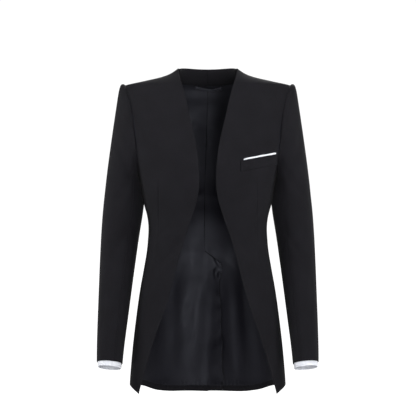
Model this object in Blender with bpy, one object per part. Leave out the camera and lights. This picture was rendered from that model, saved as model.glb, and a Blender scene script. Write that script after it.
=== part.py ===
"""A collarless, open-front tailored jacket, filled out as if worn, in metres with +Z up.

The wearer faces -Y and the wearer's left is +X. The origin is the middle of the neck opening, level
with the points where the shoulder seams meet the neck. The torso is one smooth form that is given by
level sections. Each cloth panel is a wall cut out of that form between its seams.
"""

import math

import bmesh
import bpy
from mathutils import Vector

# Walls, and the gap at a seam
CLOTH = 0.0020
SLEEVE_CLOTH = 0.0018
LINING_CLOTH = 0.0010
FACING_CLOTH = 0.0012
CUFF_CLOTH = 0.0012
SEAM_GAP = 0.0003
LAYER_GAP = 0.0004
LINING_GAP = 0.0010

# The torso's level sections: height, half width, depth in front and behind, and how round they are
SECTION_COLUMNS = ("z", "half_width", "front", "back", "round")
SECTIONS = (
    (-0.780, 0.1850, 0.100, 0.119, 0.42),
    (-0.743, 0.1835, 0.100, 0.119, 0.42),
    (-0.670, 0.1778, 0.100, 0.118, 0.42),
    (-0.570, 0.1662, 0.100, 0.113, 0.42),
    (-0.520, 0.1590, 0.100, 0.107, 0.42),
    (-0.470, 0.1500, 0.099, 0.098, 0.43),
    (-0.420, 0.1420, 0.099, 0.090, 0.43),
    (-0.374, 0.1390, 0.102, 0.087, 0.43),
    (-0.345, 0.1425, 0.108, 0.090, 0.43),
    (-0.320, 0.1500, 0.116, 0.096, 0.42),
    (-0.290, 0.1560, 0.124, 0.101, 0.42),
    (-0.265, 0.1610, 0.1275, 0.106, 0.42),
    (-0.248, 0.1650, 0.127, 0.108, 0.42),
    (-0.227, 0.1730, 0.125, 0.110, 0.43),
    (-0.206, 0.1830, 0.122, 0.112, 0.44),
    (-0.180, 0.1930, 0.117, 0.113, 0.45),
    (-0.140, 0.2050, 0.106, 0.111, 0.48),
    (-0.110, 0.2110, 0.095, 0.105, 0.50),
    (-0.083, 0.2120, 0.083, 0.097, 0.54),
    (-0.060, 0.2080, 0.071, 0.087, 0.57),
    (-0.0425, 0.1940, 0.062, 0.079, 0.60),
    (-0.0385, 0.1810, 0.060, 0.077, 0.60),
    (-0.0355, 0.1670, 0.057, 0.075, 0.60),
    (-0.0324, 0.1530, 0.055, 0.073, 0.60),
    (-0.0287, 0.1390, 0.052, 0.070, 0.60),
    (-0.0256, 0.1250, 0.050, 0.068, 0.60),
    (-0.0222, 0.1110, 0.047, 0.066, 0.58),
    (-0.0175, 0.0968, 0.043, 0.064, 0.56),
    (-0.0106, 0.0827, 0.036, 0.061, 0.54),
    (-0.0050, 0.0735, 0.029, 0.059, 0.52),
    (0.0000, 0.0640, 0.022, 0.058, 0.50),
    (0.0060, 0.0635, 0.020, 0.057, 0.50),
)

# The shoulder and the neck
NECK_HALF_WIDTH = 0.064
NECK_RISE = 0.003
SHOULDER_TIP = (0.194, -0.0425)
CHEST_LEVEL = -0.227
UNDERARM_LEVEL = -0.248

# The armhole seams: height, and distance from the centre line in front and behind
ARMHOLE = (
    (-0.227, 0.1625, 0.1645),
    (-0.206, 0.1632, 0.1675),
    (-0.180, 0.1645, 0.1700),
    (-0.157, 0.1665, 0.1720),
    (-0.134, 0.1695, 0.1740),
    (-0.109, 0.1740, 0.1775),
    (-0.083, 0.1800, 0.1825),
    (-0.060, 0.1875, 0.1885),
    (-0.0425, 0.1940, 0.1940),
)

# The front edge: height, and distance from the centre line
FRONT_EDGE = (
    (-0.780, 0.1665),
    (-0.761, 0.1610),
    (-0.741, 0.1560),
    (-0.634, 0.1240),
    (-0.540, 0.0920),
    (-0.449, 0.0675),
    (-0.403, 0.0545),
    (-0.357, 0.0387),
    (-0.334, 0.0310),
    (-0.312, 0.0242),
    (-0.289, 0.0202),
    (-0.266, 0.0188),
    (-0.221, 0.0209),
    (-0.182, 0.0260),
    (-0.153, 0.0325),
    (-0.107, 0.0432),
    (-0.083, 0.0485),
    (-0.044, 0.0560),
    (-0.016, 0.0615),
    (0.000, 0.0640),
)

# Angles round the torso are 0 at the side, positive to the front and negative to the back.
# The hem: angle in degrees, and height
HEM = (
    (-90.0, -0.771),
    (-65.0, -0.770),
    (-50.0, -0.766),
    (-32.0, -0.755),
    (0.0, -0.743),
    (10.0, -0.7475),
    (31.0, -0.761),
)
# The seams of the side panel: height, and angle in front and behind
SIDE_SEAMS = (
    (-0.780, 10.0, -24.0),
    (-0.560, 12.0, -26.0),
    (-0.374, 16.0, -26.0),
    (-0.290, 19.0, -22.0),
    (-0.227, 20.0, -18.0),
)

# The back vent, whose underlay belongs to the right back
VENT_WIDTH = 0.036
VENT_TOP_SLOPE = 0.028
VENT_STEP = 0.0025
VENT_EDGE = 0.0008

# Rows from the hem to the chest and from there to the shoulder, as shares of the height.
# The lining starts at the second row, and the vent ends at the one named next.
LOWER_ROWS = (
    *(0.0, 0.023, 0.09, 0.165, 0.24, 0.315, 0.39, 0.465, 0.54),
    *(0.6176, 0.68, 0.735, 0.79, 0.86, 0.93, 1.0),
)
VENT_ROW = LOWER_ROWS.index(0.6176)
UPPER_ROWS = (0.15, 0.30, 0.45, 0.60, 0.73, 0.835, 0.92, 1.0)
FACING_ROW = len(LOWER_ROWS) + UPPER_ROWS.index(0.835)

# The columns of each panel
FRONT_COLUMNS = 8
SIDE_COLUMNS = 4
BACK_SHOULDER_COLUMNS = (0.194, 0.160, 0.126, 0.096, 0.076)
BACK_NECK_COLUMNS = (0.0640, 0.0600, 0.0520, 0.0375, 0.0200, 0.0040, 0.0)
VENT_CLEAR_COLUMN = len(BACK_SHOULDER_COLUMNS) + BACK_NECK_COLUMNS.index(0.0375)

# The sleeve's rings from the armhole to the hem, and one more for the end of the white cuff
RING_COLUMNS = ("outer_x", "outer_z", "inner_x", "inner_z", "centre_y", "half_depth", "tilt", "armhole")
RINGS = (
    (0.1940, -0.0425, 0.1650, -0.2480, 0.004, 0.057, 0.0, 1.00),
    (0.1985, -0.0400, 0.1662, -0.2490, 0.004, 0.060, 0.0, 0.97),
    (0.2040, -0.0430, 0.1668, -0.2505, 0.004, 0.0615, 0.0, 0.90),
    (0.2078, -0.0540, 0.1665, -0.2530, 0.004, 0.062, 0.0, 0.80),
    (0.2125, -0.0850, 0.1655, -0.2560, 0.004, 0.0625, 0.0, 0.65),
    (0.2195, -0.1300, 0.1635, -0.2610, 0.003, 0.0625, 0.0, 0.40),
    (0.2275, -0.1850, 0.1600, -0.2690, 0.002, 0.0625, 0.0, 0.20),
    (0.2350, -0.2400, 0.1560, -0.2810, 0.001, 0.062, 0.0, 0.06),
    (0.2405, -0.2900, 0.1520, -0.3020, 0.000, 0.061, 0.5, 0.0),
    (0.2457, -0.3400, 0.1542, -0.3400, 0.001, 0.059, 1.0, 0.0),
    (0.2490, -0.3850, 0.1600, -0.3850, 0.003, 0.056, 2.0, 0.0),
    (0.2515, -0.4300, 0.1663, -0.4300, 0.003, 0.054, 4.0, 0.0),
    (0.2532, -0.4800, 0.1732, -0.4800, -0.001, 0.0525, 6.0, 0.0),
    (0.2548, -0.5400, 0.1808, -0.5400, -0.010, 0.051, 8.0, 0.0),
    (0.2562, -0.6000, 0.1882, -0.6000, -0.021, 0.049, 10.0, 0.0),
    (0.2570, -0.6550, 0.1951, -0.6550, -0.032, 0.0475, 12.0, 0.0),
    (0.2565, -0.6910, 0.1984, -0.6910, -0.040, 0.0465, 13.0, 0.0),
    (0.2560, -0.6995, 0.1990, -0.6995, -0.042, 0.0462, 13.0, 0.0),
)
HEM_RING = len(RINGS) - 2
CUFF_TOP_RING = HEM_RING - 0.55
SLEEVE_STEPS = (0, 1, 2, 3, 4, 5, 6, 7, 8, 9, 9.5, 10, 10.5, 11, 11.5, 12, 13, 14, 15, 16)
CUFF_STEPS = (CUFF_TOP_RING, 15.75, 16, 16.5, 17)
RING_ROUND = 2.15
BODY_CLEARANCE = 0.001

# The hanger loop inside the back neck
LOOP_LEFT = 0.0355
LOOP_RIGHT = -0.0290
LOOP_LEVEL = -0.0392
LOOP_SAG = 0.0090
LOOP_RADIUS = 0.0016
LOOP_GAP = 0.0010

# The welt of the chest pocket on the left front, and the white edge above it
WELT_CENTRE = (0.1185, -0.2265)
WELT_WIDTH = 0.084
WELT_HEIGHT = 0.0225
WELT_CLOTH = 0.0012
PATCH_GAP = 0.0006
WELT_SLOPE = math.radians(10.4)
EDGE_LENGTH = 0.078
EDGE_HEIGHT = 0.0042
EDGE_GAP = 0.0006


def curve_through(pairs):
    """A smooth curve through (place, value) pairs that never overshoots them."""
    pairs = sorted(pairs)
    places = [p for p, _ in pairs]
    values = [v for _, v in pairs]
    last = len(pairs) - 1
    rises = [(values[k + 1] - values[k]) / (places[k + 1] - places[k]) for k in range(last)]
    slopes = [rises[0]]
    for k in range(1, last):
        before, after = rises[k - 1], rises[k]
        if before * after <= 0.0:
            slopes.append(0.0)
        else:
            slopes.append(2.0 * before * after / (before + after))
    slopes.append(rises[-1])

    def value_at(place):
        place = min(max(place, places[0]), places[-1])
        k = max(i for i in range(last) if places[i] <= place)
        step = places[k + 1] - places[k]
        t = (place - places[k]) / step
        return (
            values[k] * (1 + 2 * t) * (1 - t) ** 2
            + slopes[k] * step * t * (1 - t) ** 2
            + values[k + 1] * t * t * (3 - 2 * t)
            + slopes[k + 1] * step * t * t * (t - 1)
        )

    return value_at


def column_curve(table, place_column, value_column):
    return curve_through([(row[place_column], row[value_column]) for row in table])


half_width = column_curve(SECTIONS, 0, SECTION_COLUMNS.index("half_width"))
front_depth = column_curve(SECTIONS, 0, SECTION_COLUMNS.index("front"))
back_depth = column_curve(SECTIONS, 0, SECTION_COLUMNS.index("back"))
roundness = column_curve(SECTIONS, 0, SECTION_COLUMNS.index("round"))
front_edge = column_curve(FRONT_EDGE, 0, 1)
hem_height = column_curve(HEM, 0, 1)
front_seam = column_curve(SIDE_SEAMS, 0, 1)
back_seam = column_curve(SIDE_SEAMS, 0, 2)
armhole_front = column_curve(ARMHOLE, 0, 1)
armhole_back = column_curve(ARMHOLE, 0, 2)
shoulder_height = curve_through(
    [(row[1], row[0]) for row in SECTIONS if NECK_HALF_WIDTH <= row[1] and row[0] >= SHOULDER_TIP[1]]
)
ring_value = {
    name: curve_through([(k, row[column]) for k, row in enumerate(RINGS)])
    for column, name in enumerate(RING_COLUMNS)
}


def form_point(x, z, behind):
    """The point of the torso's form at x and z, in front or behind."""
    share = min(abs(x) / half_width(z), 1.0)
    depth = back_depth(z) if behind else -front_depth(z)
    return Vector((x, depth * (1.0 - share * share) ** roundness(z), z))


def form_value(p):
    """Zero on the torso's form, negative inside it and positive outside."""
    depth = back_depth(p.z) if p.y > 0.0 else front_depth(p.z)
    return (p.x / half_width(p.z)) ** 2 + (abs(p.y) / depth) ** (1.0 / roundness(p.z)) - 1.0


def form_normal(p):
    """The outward direction of the torso's form at a point on it."""
    step = 0.0005
    shifts = (Vector((step, 0, 0)), Vector((0, step, 0)), Vector((0, 0, step)))
    return Vector([form_value(p + s) - form_value(p - s) for s in shifts]).normalized()


def top_height(x):
    """The height of the shoulder seam, or of the back neck edge, at a distance from the centre."""
    x = abs(x)
    if x < NECK_HALF_WIDTH:
        return NECK_RISE * (1.0 - (x / NECK_HALF_WIDTH) ** 2)
    return shoulder_height(x)


def chest_or_underarm(angle):
    """The height where the lower rows end: the chest level, or the armhole over the side panel."""
    edge = front_seam(CHEST_LEVEL) if angle > 0.0 else back_seam(CHEST_LEVEL)
    share = min(abs(angle / edge), 1.0)
    return CHEST_LEVEL + (UNDERARM_LEVEL - CHEST_LEVEL) * math.cos(share * math.pi / 2) ** 1.5


def lower_point(angle_at, row):
    """The point of a lower row where the angle, which depends on the height, is angle_at(z)."""
    share = LOWER_ROWS[row]
    z = CHEST_LEVEL + (hem_height(0.0) - CHEST_LEVEL) * (1.0 - share)
    for _ in range(6):
        angle = angle_at(z)
        z = hem_height(angle) * (1.0 - share) + chest_or_underarm(angle) * share
    x = half_width(z) * math.cos(math.radians(angle))
    return form_point(x, z, angle < 0.0)


def upper_point(x_at, share, behind):
    """The point of an upper row where the distance from the centre is x_at(z)."""
    z = CHEST_LEVEL * (1.0 - share)
    for _ in range(8):
        x = x_at(z)
        top = 0.0 if x < NECK_HALF_WIDTH and not behind else top_height(x)
        z = CHEST_LEVEL * (1.0 - share) + top * share
    return form_point(x, z, behind)


def edge_angle(z):
    """The angle of the front edge at a height."""
    return math.degrees(math.acos(min(front_edge(z) / half_width(z), 1.0)))


def front_grid():
    """Points of the left front, row by row from the hem, from the side seam to the front edge."""
    rows = []
    for row in range(len(LOWER_ROWS)):
        line = []
        for column in range(FRONT_COLUMNS + 1):
            share = column / FRONT_COLUMNS
            line.append(lower_point(lambda z, s=share: front_seam(z) * (1 - s) + edge_angle(z) * s, row))
        rows.append(line)
    chest = rows[-1]
    width = chest[0].x - chest[-1].x
    chest_shares = [(chest[0].x - p.x) / width for p in chest]
    for height in UPPER_ROWS:
        line = []
        for column in range(FRONT_COLUMNS + 1):
            share = chest_shares[column] * (1 - height) + column / FRONT_COLUMNS * height
            line.append(
                upper_point(lambda z, s=share: armhole_front(z) * (1 - s) + front_edge(z) * s, height, False)
            )
        rows.append(line)
    return rows


def back_grid():
    """Points of the left back, row by row from the hem, from the side seam to the centre."""
    tops = BACK_SHOULDER_COLUMNS + BACK_NECK_COLUMNS
    fixed = BACK_NECK_COLUMNS[BACK_NECK_COLUMNS.index(0.0375):]
    free = len(tops) - len(fixed)
    rows = []
    for row in range(len(LOWER_ROWS)):
        line = []
        for column in range(free):
            share = column / free

            def angle_at(z, s=share):
                inner = -math.degrees(math.acos(fixed[0] / half_width(z)))
                return back_seam(z) * (1 - s) + inner * s

            line.append(lower_point(angle_at, row))
        for x in fixed:
            line.append(lower_point(lambda z, d=x: -math.degrees(math.acos(d / half_width(z))), row))
        rows.append(line)
    chest = rows[-1]
    for height in UPPER_ROWS:
        line = []
        for column in range(len(tops)):
            low, high = chest[column].x / chest[0].x, tops[column] / tops[0]
            if column < free:
                share = low * (1 - height) + high * height
                line.append(upper_point(lambda z, s=share: armhole_back(z) * s, height, True))
            else:
                line.append(upper_point(lambda z, d=tops[column]: d, height, True))
        rows.append(line)
    return rows


def side_grid():
    """Points of the left side panel, from its front seam to its back seam."""
    rows = []
    for row in range(len(LOWER_ROWS)):
        line = []
        for column in range(SIDE_COLUMNS + 1):
            share = column / SIDE_COLUMNS
            line.append(lower_point(lambda z, s=share: front_seam(z) * (1 - s) + back_seam(z) * s, row))
        rows.append(line)
    return rows


def normals_of(grid):
    return [[form_normal(p) for p in line] for line in grid]


def moved_in(grid, normals, depth):
    """A grid moved into the torso by a depth, or by one for each point if depth is a function."""
    if callable(depth):
        return [
            [p - n * depth(i, j) for j, (p, n) in enumerate(zip(line, norms))]
            for i, (line, norms) in enumerate(zip(grid, normals))
        ]
    return [[p - n * depth for p, n in zip(line, norms)] for line, norms in zip(grid, normals)]


def trimmed(grid, start=0.0, end=0.0):
    """A grid whose first and last columns are pulled in along it by those distances."""
    grid = [[p.copy() for p in line] for line in grid]
    for line in grid:
        for place, inward, distance in ((0, 1, start), (-1, -2, end)):
            line[place] += (line[inward] - line[place]).normalized() * distance
    return grid


def mirrored(grid, side):
    return [[Vector((p.x * side, p.y, p.z)) for p in line] for line in grid]


def material(name, colour, roughness):
    made = bpy.data.materials.new(name)
    made.use_nodes = True
    shader = made.node_tree.nodes["Principled BSDF"]
    shader.inputs["Base Color"].default_value = (*colour, 1.0)
    shader.inputs["Roughness"].default_value = roughness
    shader.inputs["Metallic"].default_value = 0.0
    return made


def finish_object(name, mesh, look):
    """Puts a bmesh into a named object with its material, outward faces and smooth shading."""
    bmesh.ops.recalc_face_normals(mesh, faces=mesh.faces)
    data = bpy.data.meshes.new(name)
    mesh.to_mesh(data)
    mesh.free()
    data.materials.append(look)
    data.shade_smooth()
    data.set_sharp_from_angle(angle=math.radians(40))
    made = bpy.data.objects.new(name, data)
    bpy.context.scene.collection.objects.link(made)
    return made


def wall(name, outer, inner, look, cells=None, closed=False):
    """A closed wall between two grids of points. cells(row, column) says which cells are cloth."""
    mesh = bmesh.new()
    rows, columns = len(outer), len(outer[0])
    spans = columns if closed else columns - 1
    kept = [(i, j) for i in range(rows - 1) for j in range(spans) if cells is None or cells(i, j)]
    corners = {}

    def corner(i, j, layer):
        key = (i, j % columns, layer)
        if key not in corners:
            corners[key] = mesh.verts.new((outer, inner)[layer][i][j % columns])
        return corners[key]

    edges = {}
    for i, j in kept:
        ring = ((i, j), (i, j + 1), (i + 1, j + 1), (i + 1, j))
        for layer in (0, 1):
            a, b, c, d = (corner(*place, layer) for place in ring)
            mesh.faces.new((a, b, c) if layer == 0 else (c, b, a))
            mesh.faces.new((a, c, d) if layer == 0 else (d, c, a))
        for start, end in zip(ring, ring[1:] + ring[:1]):
            start, end = (start[0], start[1] % columns), (end[0], end[1] % columns)
            if (end, start) in edges:
                del edges[(end, start)]
            else:
                edges[(start, end)] = True
    for start, end in edges:
        a, b = corner(*start, 0), corner(*end, 0)
        c, d = corner(*end, 1), corner(*start, 1)
        mesh.faces.new((b, a, d))
        mesh.faces.new((b, d, c))
    return finish_object(name, mesh, look)


def sleeve_ring(k, angles, residuals):
    """The left sleeve's ring k as points at the given angles, 0 outside and 90 in front."""
    value = {name: ring_value[name](k) for name in RING_COLUMNS}
    outer = Vector((value["outer_x"], value["centre_y"], value["outer_z"]))
    inner = Vector((value["inner_x"], value["centre_y"], value["inner_z"]))
    centre = (outer + inner) / 2
    slope = math.tan(math.radians(value["tilt"]))
    ring = []
    for angle, residual in zip(angles, residuals):
        across = math.copysign(abs(math.cos(angle)) ** (2 / RING_ROUND), math.cos(angle))
        forward = math.copysign(abs(math.sin(angle)) ** (2 / RING_ROUND), math.sin(angle))
        forward *= value["half_depth"]
        p = centre + (outer - centre) * across + Vector((0.0, -forward, forward * slope))
        p += residual * value["armhole"]
        ring.append(clear_of_body(p, k))
    return ring


def clear_of_body(p, k):
    """A sleeve point moved outward where it would lie in the torso or too near it."""
    if p.z > UNDERARM_LEVEL or k < 1:
        return p
    depth = back_depth(p.z) if p.y > 0.0 else front_depth(p.z)
    share = min(abs(p.y) / depth, 1.0)
    body = half_width(p.z) * (1.0 - share ** (1.0 / roundness(p.z))) ** 0.5
    wanted = body + BODY_CLEARANCE * min(k - 0.5, 1.0)
    return Vector((max(p.x, wanted), p.y, p.z))


def armhole_loop(front, side, back):
    """The armhole of the left side: its points from the shoulder tip down the front and up the back."""
    chest = len(LOWER_ROWS) - 1
    down = [line[0] for line in reversed(front[chest:])]
    under = list(side[chest][1:-1])
    up = [line[0] for line in back[chest:-1]]
    return down + under + up


def sleeve_angles(loop):
    """An angle for each armhole point, from its place along the loop, with the underarm at half a turn."""
    count = len(loop)
    lengths = [(loop[(k + 1) % count] - loop[k]).length for k in range(count)]
    bottom = len(UPPER_ROWS) + SIDE_COLUMNS // 2
    down, up = sum(lengths[:bottom]), sum(lengths[bottom:])
    angles, run = [], 0.0
    for k in range(count):
        if k <= bottom:
            angles.append(math.pi * run / down)
        else:
            angles.append(math.pi + math.pi * (run - down) / up)
        run += lengths[k]
    return angles


def ring_grid_normals(grid):
    """Outward directions of a grid of closed rings."""
    rows, columns = len(grid), len(grid[0])
    normals = []
    for i in range(rows):
        below, above = grid[max(i - 1, 0)], grid[min(i + 1, rows - 1)]
        line = []
        for j in range(columns):
            along = above[j] - below[j]
            around = grid[i][(j + 1) % columns] - grid[i][j - 1]
            line.append(along.cross(around).normalized())
        normals.append(line)
    centre = sum(grid[-1], Vector()) / columns
    if normals[-1][0].dot(grid[-1][0] - centre) < 0.0:
        normals = [[-n for n in line] for line in normals]
    return normals


def sleeve_grids(loop):
    """The left sleeve's and cuff's rings of points, with their outward directions."""
    angles = sleeve_angles(loop)
    no_residual = [Vector()] * len(loop)
    nominal = sleeve_ring(0, angles, no_residual)
    residuals = [p - q for p, q in zip(loop, nominal)]
    sleeve = [sleeve_ring(k, angles, residuals) for k in SLEEVE_STEPS]
    cuff = [sleeve_ring(k, angles, residuals) for k in CUFF_STEPS]
    return sleeve, ring_grid_normals(sleeve), cuff, ring_grid_normals(cuff)


def seam_offset(sleeve):
    """The sleeve's rings with the first one moved just off the armhole edge of the torso."""
    first = []
    for p, following in zip(sleeve[0], sleeve[1]):
        outward = (following - p).normalized()
        upward = Vector((0.0, 0.0, 1.0)) if p.z < CHEST_LEVEL else Vector()
        first.append(p + (outward + upward).normalized() * (SEAM_GAP + 0.0001))
    return [first, *sleeve[1:]]


def sleeve_panel(name, sleeve, normals, columns, side, look):
    """One of a sleeve's two lengths of cloth, between two of its lengthwise seams."""
    outer = [[line[k % len(line)] for k in columns] for line in sleeve]
    norms = [[line[k % len(line)] for k in columns] for line in normals]
    inner = moved_in(outer, norms, SLEEVE_CLOTH)
    outer, inner = (mirrored(trimmed(g, SEAM_GAP, SEAM_GAP), side) for g in (outer, inner))
    return wall(name, outer, inner, look)


def build_sleeve(side_name, side, loop, cloth, white):
    sleeve, normals, cuff, cuff_normals = sleeve_grids(loop)
    sleeve = seam_offset(sleeve)
    count = len(loop)
    front_line = len(UPPER_ROWS) - 1
    back_line = len(UPPER_ROWS) + SIDE_COLUMNS + 2
    sleeve_panel(f"under_sleeve_{side_name}", sleeve, normals, range(front_line, back_line + 1), side, cloth)
    sleeve_panel(
        f"top_sleeve_{side_name}", sleeve, normals, range(back_line, count + front_line + 1), side, cloth
    )
    depth = SLEEVE_CLOTH + LAYER_GAP
    outer = mirrored(moved_in(cuff, cuff_normals, depth), side)
    inner = mirrored(moved_in(cuff, cuff_normals, depth + CUFF_CLOTH), side)
    wall(f"cuff_{side_name}", outer, inner, white, closed=True)


def with_underlay(back):
    """The right back's points, as left ones, with the vent's underlay past the centre line."""
    grid = []
    for row, line in enumerate(back):
        slope = VENT_TOP_SLOPE if row == VENT_ROW else 0.0
        added = []
        for share in (0.5, 1.0):
            p = form_point(VENT_WIDTH * share, line[-1].z - slope * share, True)
            added.append(Vector((-p.x, p.y, p.z)))
        grid.append([*line, *added])
    return grid


def with_sloping_row(back):
    """The left back's points, with the row at the vent's top running down the underlay's slope."""
    grid = [list(line) for line in back]
    for column in range(VENT_CLEAR_COLUMN, len(back[0])):
        p = back[VENT_ROW][column]
        drop = max(VENT_TOP_SLOPE * min(p.x / VENT_WIDTH, 1.0) - 4 * SEAM_GAP, 0.0)
        grid[VENT_ROW][column] = form_point(p.x, p.z - drop, True) - Vector((0, 2 * SEAM_GAP, 0))
    return grid


def underlay_depth(row, column):
    """How far the right back steps in at the vent, so that the left back laps over it."""
    centre = len(BACK_SHOULDER_COLUMNS) + len(BACK_NECK_COLUMNS) - 1
    return VENT_STEP if column >= centre and row <= VENT_ROW else 0.0


def build_back(side_name, side, back, cloth, lining, facing_cloth):
    """A back with its lining and its half of the neck facing."""
    centre = len(back[0]) - 1
    neck = len(BACK_SHOULDER_COLUMNS)
    half = SEAM_GAP / 2
    right = side < 0
    shaped = with_underlay(back) if right else back
    lining_shape = shaped if right else with_sloping_row(back)
    step = underlay_depth if right else (lambda row, column: 0.0)

    def layer(points, depth):
        grid = moved_in(points, normals_of(points), lambda i, j: depth + step(i, j))
        for i, line in enumerate(grid):
            line[centre].x = VENT_EDGE if right and i <= VENT_ROW else half
        return mirrored(grid, side)

    def cloth_cell(row, column):
        return column < centre or row < VENT_ROW

    outer, inner = (trimmed(layer(shaped, depth), start=half) for depth in (0.0, CLOTH))
    for grid in (outer, inner):
        for p, below in zip(grid[-1], grid[-2]):
            if abs(p.x) > NECK_HALF_WIDTH - 0.001:
                p.y += half
    wall(f"back_{side_name}", outer, inner, cloth, cells=cloth_cell)

    def lining_cell(row, column):
        if not 1 <= row < FACING_ROW:
            return False
        if right:
            return cloth_cell(row, column)
        return row >= VENT_ROW or column < VENT_CLEAR_COLUMN

    low = CLOTH + LINING_GAP
    depths = (low, low + LINING_CLOTH)
    outer, inner = (trimmed(layer(lining_shape, depth), start=half) for depth in depths)
    wall(f"lining_{side_name}", outer, inner, lining, cells=lining_cell)

    def facing_cell(row, column):
        return row >= FACING_ROW and neck <= column < centre

    outer, inner = (layer(shaped, depth) for depth in (low, low + FACING_CLOTH))
    for grid in (outer, inner):
        for p, above in zip(grid[FACING_ROW], grid[FACING_ROW + 1]):
            p += (above - p).normalized() * SEAM_GAP
    wall(f"neck_facing_{side_name}", outer, inner, facing_cloth, cells=facing_cell)


def build_front(side_name, side, front, cloth):
    normals = normals_of(front)
    half = SEAM_GAP / 2
    grids = []
    for depth in (0.0, CLOTH):
        grid = trimmed(moved_in(front, normals, depth), start=half)
        for p in grid[-1]:
            p.y -= half
        grids.append(mirrored(grid, side))
    wall(f"front_{side_name}", *grids, cloth)


def build_side(side_name, side, panel, cloth):
    normals = normals_of(panel)
    half = SEAM_GAP / 2
    grids = [mirrored(trimmed(moved_in(panel, normals, d), half, half), side) for d in (0.0, CLOTH)]
    wall(f"side_{side_name}", *grids, cloth)


def patch_on_front(name, centre, width, height, slope, low, high, columns, rows, look):
    """A slanted piece of cloth that lies on the left front, from low to high above it."""
    places = []
    for i in range(rows + 1):
        line = []
        for j in range(columns + 1):
            across = (j / columns - 0.5) * width
            up = (i / rows - 0.5) * height
            x = centre[0] + across * math.cos(slope)
            z = centre[1] + across * math.sin(slope) + up
            line.append(form_point(x, z, False))
        places.append(line)
    normals = normals_of(places)
    return wall(name, moved_in(places, normals, -high), moved_in(places, normals, -low), look)


def build_pocket(cloth, white):
    low = PATCH_GAP
    patch_on_front(
        "chest_welt", WELT_CENTRE, WELT_WIDTH, WELT_HEIGHT, WELT_SLOPE, low, low + WELT_CLOTH, 14, 2, cloth
    )
    rise = WELT_HEIGHT / 2 + EDGE_GAP + EDGE_HEIGHT / 2
    centre = (WELT_CENTRE[0] + 0.001, WELT_CENTRE[1] + rise)
    patch_on_front(
        "pocket_edge", centre, EDGE_LENGTH, EDGE_HEIGHT, WELT_SLOPE, low, low + WELT_CLOTH, 14, 1, white
    )


def build_hanger_loop(lining):
    """A narrow sewn tube that hangs in a shallow bow from its two ends."""
    mesh = bmesh.new()
    sides, steps = 8, 14
    depth = CLOTH + LINING_GAP + FACING_CLOTH + LOOP_GAP + LOOP_RADIUS
    centres = []
    for k in range(steps + 1):
        share = k / steps
        x = LOOP_RIGHT + (LOOP_LEFT - LOOP_RIGHT) * share
        z = LOOP_LEVEL - LOOP_SAG * math.sin(math.pi * share) ** 0.7
        on_form = form_point(x, z, True)
        centres.append(on_form - form_normal(on_form) * depth)
    rings = []
    for k, centre in enumerate(centres):
        along = (centres[min(k + 1, steps)] - centres[max(k - 1, 0)]).normalized()
        inward = Vector((0.0, -1.0, 0.0))
        across = along.cross(inward).normalized()
        inward = across.cross(along).normalized()
        turns = [2 * math.pi * s / sides for s in range(sides)]
        rings.append(
            [
                mesh.verts.new(centre + (across * math.cos(t) + inward * math.sin(t)) * LOOP_RADIUS)
                for t in turns
            ]
        )
    for low, high in zip(rings, rings[1:]):
        for s in range(sides):
            mesh.faces.new((low[s], low[(s + 1) % sides], high[(s + 1) % sides], high[s]))
    mesh.faces.new(rings[0])
    mesh.faces.new(list(reversed(rings[-1])))
    return finish_object("hanger_loop", mesh, lining)


def main():
    for old in list(bpy.data.objects):
        bpy.data.objects.remove(old)
    cloth = material("black_crepe", (0.017, 0.017, 0.019), 0.85)
    lining = material("black_satin_lining", (0.014, 0.014, 0.019), 0.42)
    white = material("white_poplin", (0.86, 0.87, 0.92), 0.7)
    front, side_panel, back = front_grid(), side_grid(), back_grid()
    loop = armhole_loop(front, side_panel, back)
    for side_name, side in (("left", 1), ("right", -1)):
        build_front(side_name, side, front, cloth)
        build_side(side_name, side, side_panel, cloth)
        build_back(side_name, side, back, cloth, lining, cloth)
        build_sleeve(side_name, side, loop, cloth, white)
    build_pocket(cloth, white)
    build_hanger_loop(lining)


main()
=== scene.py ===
"""The looks of a collarless, open-front tailored jacket, filled out as if worn.

The solids of the frame give every panel's place and size. Here each panel is a thin shell of cloth on
the same form, with turned edges, sewn seams and the soft creases of wear. The wearer faces -Y and the
wearer's left is +X. Lengths are in metres and angles round the torso are in degrees.
"""

import math

import bmesh
import bpy
import numpy as np
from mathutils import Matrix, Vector


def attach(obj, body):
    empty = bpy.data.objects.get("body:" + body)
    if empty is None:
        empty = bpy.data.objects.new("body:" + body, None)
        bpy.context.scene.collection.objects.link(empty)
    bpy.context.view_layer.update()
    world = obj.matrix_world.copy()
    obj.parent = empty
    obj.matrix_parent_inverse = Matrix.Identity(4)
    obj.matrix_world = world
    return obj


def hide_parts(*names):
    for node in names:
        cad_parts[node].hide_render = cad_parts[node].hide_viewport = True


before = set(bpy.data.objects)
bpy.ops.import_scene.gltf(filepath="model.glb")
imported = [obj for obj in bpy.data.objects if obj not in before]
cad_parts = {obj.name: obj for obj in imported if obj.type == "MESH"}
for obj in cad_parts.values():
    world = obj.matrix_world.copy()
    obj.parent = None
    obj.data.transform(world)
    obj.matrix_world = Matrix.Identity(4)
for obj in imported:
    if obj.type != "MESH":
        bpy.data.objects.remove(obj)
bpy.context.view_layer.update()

# The torso's level sections: height, half width, depth in front and behind, and how round they are.
# Over the shoulder tip the half width follows the shoulder seam, from a little below the tip upwards.
SECTION_COLUMNS = ("z", "half_width", "front", "back", "round")
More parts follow.
